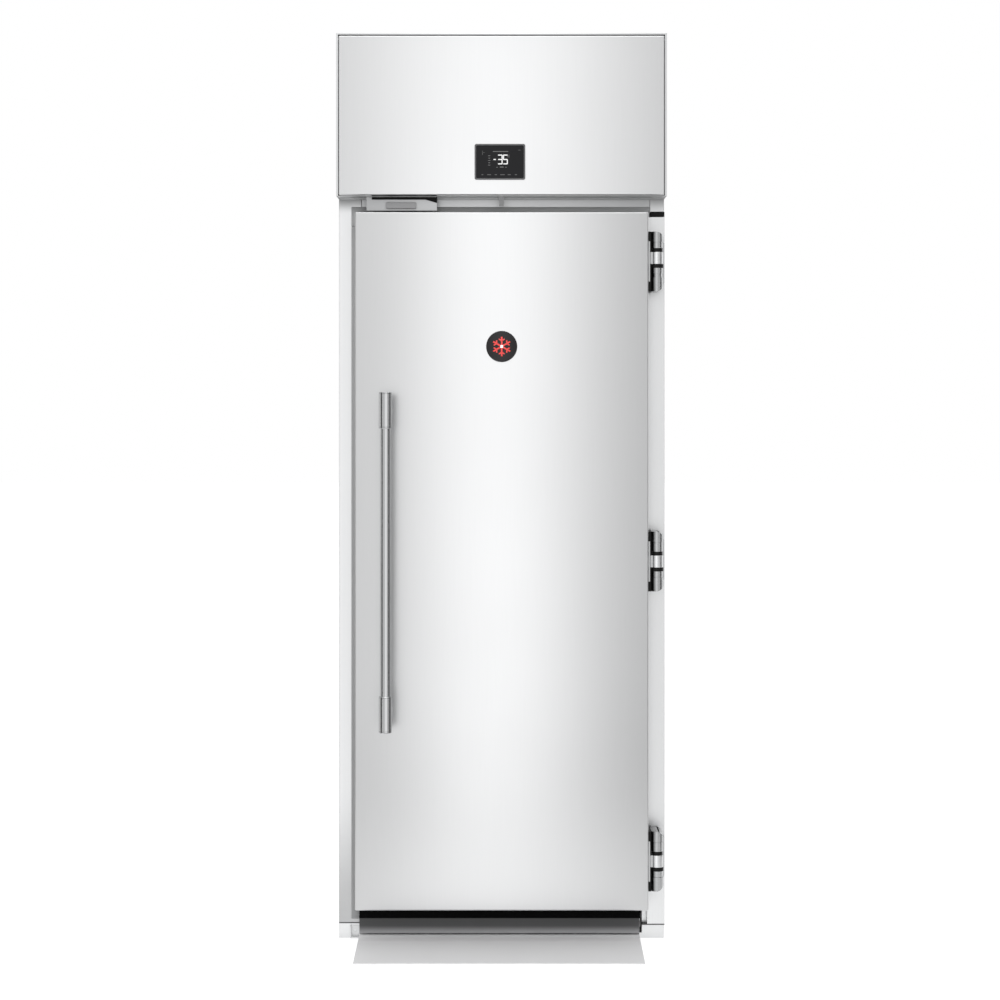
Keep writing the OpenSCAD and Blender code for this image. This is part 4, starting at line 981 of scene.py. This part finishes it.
def galvanised(name, colour, roughness, size=90.0):
    """Hot-dipped zinc, with its crystals a little lighter and darker."""
    finish, tree, inputs = new_finish(name, metallic=1.0)
    zinc = add_node(tree, "Group", {"node_tree": spangle_effect}, Size=size).outputs["Tone"]
    varied(tree, inputs, zinc, zinc, colour, (0.88, 1.1), roughness, 0.06)
    return finish


zinc_sheet = galvanised("zinc_sheet", (0.60, 0.61, 0.62), 0.38)


def pan_heads(name, places, out, radius=0.004):
    """Small rounded screw heads at several places, all facing one way."""
    profile = [(radius, 0), (radius, 0.0008), (radius * 0.75, 0.0018), (radius * 0.25, 0.0021), (0, 0.0016)]
    heads = [turned(name, profile, place, out, 12) for place in places]
    return fit(joined(name, heads), hinge_steel, "root", "bracket_steel")


def pipe(name, points, radius, bend=0.0, sides=3):
    """A round tube along points, with its corners bent to one radius."""
    path = [Vector(points[0])]
    for before, corner, after in zip(points, points[1:], points[2:]):
        corner = Vector(corner)
        back = (Vector(before) - corner).normalized()
        on = (Vector(after) - corner).normalized()
        if bend == 0 or back.dot(on) < -0.99:
            path.append(corner)
            continue
        for i in range(6):
            t = i / 5
            path.append(corner + back * bend * (1 - t) ** 2 + on * bend * t ** 2)
    path.append(Vector(points[-1]))
    piece = thread(name, path)
    done_editing()
    bpy.ops.object.convert(target="CURVE")
    tube = bpy.context.object
    tube.data.bevel_depth = radius
    tube.data.bevel_resolution = sides
    tube.data.use_fill_caps = True
    bpy.ops.object.convert(target="MESH")
    return bpy.context.object


# The fan panel is screwed along both sides
low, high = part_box("fan_panel")
rounded("fan_panel_sheet", "fan_panel", 0.0006, zinc_sheet, "root", "galvanised")
panel_y = low.y
panel_screws = [(x, panel_y, low.z + 0.04 + i * (high.z - low.z - 0.08) / 7)
                for x in (low.x + 0.015, high.x - 0.015) for i in range(8)]
pan_heads("fan_panel_screws", panel_screws, (0, -1, 0))
rounded("drip_tray_pan", "drip_tray", 0.0006, zinc_sheet, "root", "galvanised")


# ==== Fans ======================================================================================
# Pressed aluminium wheels with five swept and twisted blades, external rotor motors on three arms,
# and guards of welded wire rings.
fan_aluminium = moulded("fan_aluminium", (0.70, 0.71, 0.72), 0.35, 400.0, 0.05, 0.04, metallic=1.0)
blade_count = 5
blade_sheet = 0.0016
rotor_profile = [(0, 0), (0.026, 0), (0.0325, 0.003), (0.0345, 0.008), (0.0348, 0.038), (0.0335, 0.040),
                 (0.006, 0.040), (0.006, 0.075), (0.005, 0.077), (0, 0.077)]
wheel_r = 0.150
for node in ["fan_1", "fan_2", "fan_3", "condenser_fan"]:
    low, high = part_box(node)
    middle = Vector(((low.x + high.x) / 2, low.y, high.z - wheel_r))
    reach = wheel_r - 0.002
    root_r = 0.031
    parts = [turned(node + "_wheel", rotor_profile, middle, (0, 1, 0), 40)]
    for i in range(blade_count):
        bpy.ops.mesh.primitive_grid_add(x_subdivisions=10, y_subdivisions=6, size=1)
        blade = bpy.context.object
        for corner in blade.data.vertices:
            out = corner.co.x + 0.5
            r = root_r + out * (reach - root_r)
            chord = math.radians(54 - 16 * out) * corner.co.y
            turn = i * 2 * math.pi / blade_count + 0.35 * out ** 2 + chord
            rise = corner.co.y * (0.030 - 0.006 * out) + 0.010 * (0.25 - corner.co.y ** 2)
            corner.co = middle + Vector((r * math.cos(turn), 0.0195 + rise, r * math.sin(turn)))
        modify(blade, "SOLIDIFY", thickness=blade_sheet, offset=0)
        parts.append(blade)
    fit(joined(node + "_wheel", parts), fan_aluminium, node, "fan_aluminium", node)

motor_paint = moulded("motor_paint", (0.03, 0.03, 0.032), 0.4)
motor_l = 0.060
arm_r = 0.1570
ribs = []
for i in range(5):
    ribs += [(0.0478, 0.0120 + 0.0075 * i), (0.0478, 0.0160 + 0.0075 * i), (0.0440, 0.0164 + 0.0075 * i),
             (0.0440, 0.0191 + 0.0075 * i)]
motor_profile = [(0, 0.034), (0.0072, 0.034), (0.0072, 0), (0.036, 0), (0.0415, 0.004), (0.0415, 0.0115)]
motor_profile += ribs + [(0.0415, 0.0500), (0.0415, 0.056), (0.038, motor_l), (0, motor_l)]
motor_feet = [(fan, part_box(fan)) for fan in ["fan_1", "fan_2", "fan_3", "condenser_fan"]]
for fan, (start, end) in motor_feet:
    foot = Vector(((start.x + end.x) / 2, start.y + 0.045, end.z - wheel_r))
    parts = [turned(fan + "_motor", motor_profile, foot, (0, 1, 0), 40)]
    for turn in (0, 120, 240):
        arm = block(fan + "_arm", foot + Vector((-0.008, 0.002, 0.030)), foot + Vector((0.008, 0.006, arm_r)))
        parts.append(swung(arm, foot, turn))
    stands_for = ["fan_motors"] if fan == "fan_1" else []
    fit(joined(fan + "_motor", parts), motor_paint, "root", "motor_paint", *stands_for)

guard_wire = moulded("guard_wire", (0.62, 0.62, 0.63), 0.3, 400.0, 0.05, 0.04, metallic=1.0)
wire_r = 0.0015
low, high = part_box("fan_guards")
guard_r = (high.x - low.x) / 2 - 0.0015
guard_y = low.y + wire_r
ring_count = 7
behind = Vector((0, 0.0025, 0))
for fan, (start, end) in motor_feet[:3]:
    middle = Vector(((start.x + end.x) / 2, guard_y, end.z - wheel_r))
    parts = []
    for i in range(1, ring_count + 1):
        bpy.ops.mesh.primitive_torus_add(location=middle, rotation=(math.radians(90), 0, 0),
                                         major_segments=64, minor_segments=6,
                                         major_radius=guard_r * i / ring_count, minor_radius=wire_r)
        bpy.ops.object.transform_apply(location=True, rotation=True, scale=True)
        parts.append(bpy.context.object)
    for turn in (45, 135, 225, 315):
        out = Vector((math.cos(math.radians(turn)), 0, math.sin(math.radians(turn))))
        spoke = [middle + out * guard_r / ring_count + behind, middle + out * guard_r + behind,
                 middle + out * guard_r + Vector((0, high.y - guard_y, 0))]
        parts.append(pipe(fan + "_guard_spoke", spoke, wire_r, 0.004, 2))
    stands_for = ["fan_guards"] if fan == "fan_1" else []
    fit(joined(fan + "_guard", parts), guard_wire, "root", "guard_wire", *stands_for)


# ==== Coils =====================================================================================
# Evaporator and condenser: packs of thin aluminium fins between end plates, with the copper return
# bends of the evaporator's tubes outside its plates.
fin_t = 0.0003


def fin_pack(name, low, high, pitch, finish):
    """Upright fins side by side, from one corner to the other."""
    fin = block(name, low, (low[0] + fin_t, high[1], high[2]))
    modify(fin, "ARRAY", count=int((high[0] - low[0]) / pitch), use_relative_offset=False,
           use_constant_offset=True, constant_offset_displace=(pitch, 0, 0))
    return fit(fin, finish, "root", "coil_fins")


copper = moulded("copper", (0.72, 0.36, 0.22), 0.28, 300.0, 0.06, 0.12, metallic=1.0)
plate_x = 0.290
coil_low_y = 0.450
coil_high_y = 0.550
low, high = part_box("evaporator_coil")
fin_pack("evaporator_fins", (-plate_x + 0.004, coil_low_y + 0.006, low.z + 0.006),
         (plate_x - 0.004, coil_high_y - 0.006, high.z - 0.006), 0.006, fan_aluminium)
bends = 12
bend_pitch = (high.z - low.z) / bends
parts = []
for side in (-1, 1):
    plate = block("evaporator_plate", (min(side * plate_x, side * (plate_x - 0.003)), coil_low_y, low.z),
                  (max(side * plate_x, side * (plate_x - 0.003)), coil_high_y, high.z))
    parts.append(plate)
fit(joined("evaporator_end_plates", parts), zinc_sheet, "root", "galvanised", "evaporator_coil")
parts = []
for side in (-1, 1):
    for i in range(bends):
        z = low.z + bend_pitch * (i + 0.5)
        x = side * (plate_x - 0.001)
        arc = [(x + side * 0.023 * math.sin(a), 0.500 + 0.024 * math.cos(a), z)
               for a in [math.pi * k / 8 for k in range(9)]]
        parts.append(pipe("evaporator_bend", arc, 0.0058, 0, 2))
fit(joined("evaporator_return_bends", parts), copper, "root", "copper")

low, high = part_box("condenser_coil")
fin_pack("condenser_fins", (low.x + 0.004, low.y + 0.004, low.z + 0.014),
         (high.x - 0.004, high.y - 0.004, high.z - 0.004), 0.0035, fan_aluminium)
parts = [block("condenser_plate", low, (low.x + 0.002, high.y, high.z)),
         block("condenser_plate", (high.x - 0.002, low.y, low.z), high)]
fit(joined("condenser_end_plates", parts), zinc_sheet, "root", "galvanised", "condenser_coil")
rounded("condenser_shroud_sheet", "condenser_shroud", 0.0006, zinc_sheet, "root", "galvanised")


# ==== Drain and gland ===========================================================================
# Grey plastic drain pipe with its rosette, and the nut and body of the mains gland.
drain_grey = moulded("drain_grey", (0.33, 0.335, 0.34), 0.45)
rounded("drain_outlet_pipe", "drain_pipe", 0.0008, drain_grey, "root", "drain_grey")
rounded("mains_gland_body", "mains_gland", 0.0008, drain_grey, "root", "drain_grey")


# ==== Compressor ================================================================================
# Hermetic compressor: a black can of two pressed halves with a weld round its middle, a foot plate on
# four rubber mounts and a terminal box.
compressor_black = moulded("compressor_black", (0.014, 0.014, 0.015), 0.32, 500.0, 0.08)
low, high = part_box("compressor")
can_x = (low.x + high.x) / 2
plate_t = 0.004
can_r = (high.x - low.x) / 2 - 0.015
can_y = high.y - can_r - 0.015
can_h = high.z - low.z - plate_t
dome = 0.035
curve = [math.radians(a) for a in (0, 18, 36, 54, 72, 90)]
weld = can_h * 0.56
can_profile = [(0, 0), (can_r - dome, 0)] + [(can_r - dome + dome * math.sin(a), dome - dome * math.cos(a))
                                             for a in curve[1:]]
upper_in = 0.0035
can_profile += [(can_r, weld - 0.012), (can_r, weld - 0.0015), (can_r - 0.0015, weld),
                (can_r - upper_in, weld + 0.002), (can_r - upper_in, can_h - dome)]
can_profile += [(can_r - dome + (dome - upper_in) * math.cos(a), can_h - dome + dome * math.sin(a))
                for a in curve[1:]]
can_profile += [(0, can_h)]
can = turned("compressor_can", can_profile, (can_x, can_y, low.z + plate_t), (0, 0, 1), 64)
fit(can, compressor_black, "root", "motor_paint", "compressor")
foot = block("compressor_foot_plate", (low.x, can_y - can_r - 0.015, low.z),
             (high.x, high.y, low.z + plate_t))
round_off(foot, 0.018, 4, lambda middle, run: abs(run.z) > 0.9)
fit(foot, compressor_black, "root", "motor_paint")
terminal = block("compressor_terminal_box", (can_x - 0.040, can_y - can_r - 0.030, low.z + 0.114),
                 (can_x + 0.040, can_y - can_r + 0.030, low.z + 0.194))
round_off(terminal, 0.005, 3, lambda middle, run: middle.y < can_y - can_r - 0.001)
fit(terminal, black_plastic, "root", "motor_paint")
low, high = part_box("compressor_mounts")
mount_h = high.z - low.z
mount_profile = [(0, 0), (0.0145, 0), (0.0155, 0.001), (0.0155, mount_h * 0.35), (0.011, mount_h * 0.5),
                 (0.0155, mount_h * 0.65), (0.0155, mount_h - 0.001), (0.0145, mount_h - 0.0002),
                 (0, mount_h - 0.0002)]
mount_in = 0.016
mount_places = [(x, y) for x in (low.x + mount_in, high.x - mount_in)
                for y in (low.y + mount_in, high.y - mount_in)]
feet = [turned("compressor_mount", mount_profile, (x, y, low.z), (0, 0, 1), 24) for x, y in mount_places]
fit(joined("compressor_rubber_mounts", feet), black_rubber, "root", "black_rubber", "compressor_mounts")
bolts = [(x, y, high.z + plate_t) for x, y in mount_places]
pan_heads("compressor_bolts", bolts, (0, 0, 1), 0.008)


# ==== Refrigerant circuit =======================================================================
# Receiver, copper suction, discharge and liquid lines bent from drawn tube, and the filter drier.
low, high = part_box("liquid_receiver")
shell_r = (high.x - low.x) / 2
shell_top = high.z - low.z - shell_r
receiver_profile = [(0, 0), (shell_r * 0.7, 0), (shell_r * 0.7, 0.020), (shell_r - 0.002, 0.020),
                    (shell_r, 0.024), (shell_r, shell_top - 0.004), (shell_r - 0.001, shell_top - 0.002),
                    (shell_r, shell_top)]
receiver_profile += [(shell_r * math.cos(a), shell_top + shell_r * math.sin(a)) for a in curve[1:]]
receiver_x = (low.x + high.x) / 2
receiver_y = (low.y + high.y) / 2
receiver = turned("receiver_shell", receiver_profile, (receiver_x, receiver_y, low.z), (0, 0, 1))
fit(receiver, compressor_black, "root", "motor_paint", "liquid_receiver")
unit_z = low.z
line_z = unit_z + 0.060
can_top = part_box("compressor")[1].z
high_z = can_top + 0.035
coil_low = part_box("condenser_coil")[0]
coil_y = coil_low.y + 0.035
stub_z = can_top - 0.004
suction_x = can_x - 0.040
suction_y = can_y - 0.180
discharge_x = can_x + 0.040
inlet_z = high_z - 0.060
return_x = receiver_x + 0.090
outlet_y = receiver_y - 0.300
runs = [("suction_line", 0.011, [(suction_x, can_y, stub_z), (suction_x, can_y, high_z),
                                 (suction_x, suction_y, high_z), (suction_x, suction_y, unit_z)]),
        ("discharge_line", 0.007, [(discharge_x, can_y, stub_z), (discharge_x, can_y, high_z),
                                   (discharge_x, coil_y, high_z), (discharge_x, coil_y, inlet_z),
                                   (coil_low.x, coil_y, inlet_z)]),
        ("condensate_line", 0.006, [(coil_low.x, coil_y, line_z), (return_x, coil_y, line_z),
                                    (return_x, receiver_y, line_z),
                                    (receiver_x + shell_r - 0.002, receiver_y, line_z)]),
        ("liquid_line", 0.006, [(receiver_x, receiver_y - shell_r + 0.002, line_z),
                                (receiver_x, outlet_y, line_z), (receiver_x, outlet_y, unit_z)])]
for name, radius, points in runs:
    stands_for = ["refrigerant_lines"] if name == "suction_line" else []
    fit(pipe(name, points, radius, radius * 2.2, 4), copper, "root", "copper", *stands_for)
drier_profile = [(0.006, 0), (0.010, 0.004), (0.0218, 0.012), (0.0218, 0.108), (0.010, 0.116), (0.006, 0.120)]
drier = turned("filter_drier", drier_profile, (receiver_x, receiver_y - 0.240, line_z), (0, 1, 0), 32)
fit(drier, copper, "root", "copper")


# ==== Electrical box ============================================================================
# Folded zinc box with a screwed lid, and the control board behind the display.
rounded("electrical_box_sheet", "electrical_box", 0.0006, zinc_sheet, "root", "galvanised")
low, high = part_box("electrical_box")
lid_screws = [(x, low.y, z) for x in (low.x + 0.014, high.x - 0.014) for z in (low.z + 0.014, high.z - 0.014)]
pan_heads("electrical_box_screws", lid_screws, (0, -1, 0))
board_green = moulded("board_green", (0.01, 0.09, 0.03), 0.4, 300.0, 0.2, 0.3)
rounded("control_board_plate", "control_board", 0.0003, board_green, "cowl", "board_green")


# ==== Boxes =====================================================================================
# the boxes of the frame and of the finished object
seen_box = [list(corner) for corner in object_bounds()]
for corner in cad_box + seen_box:
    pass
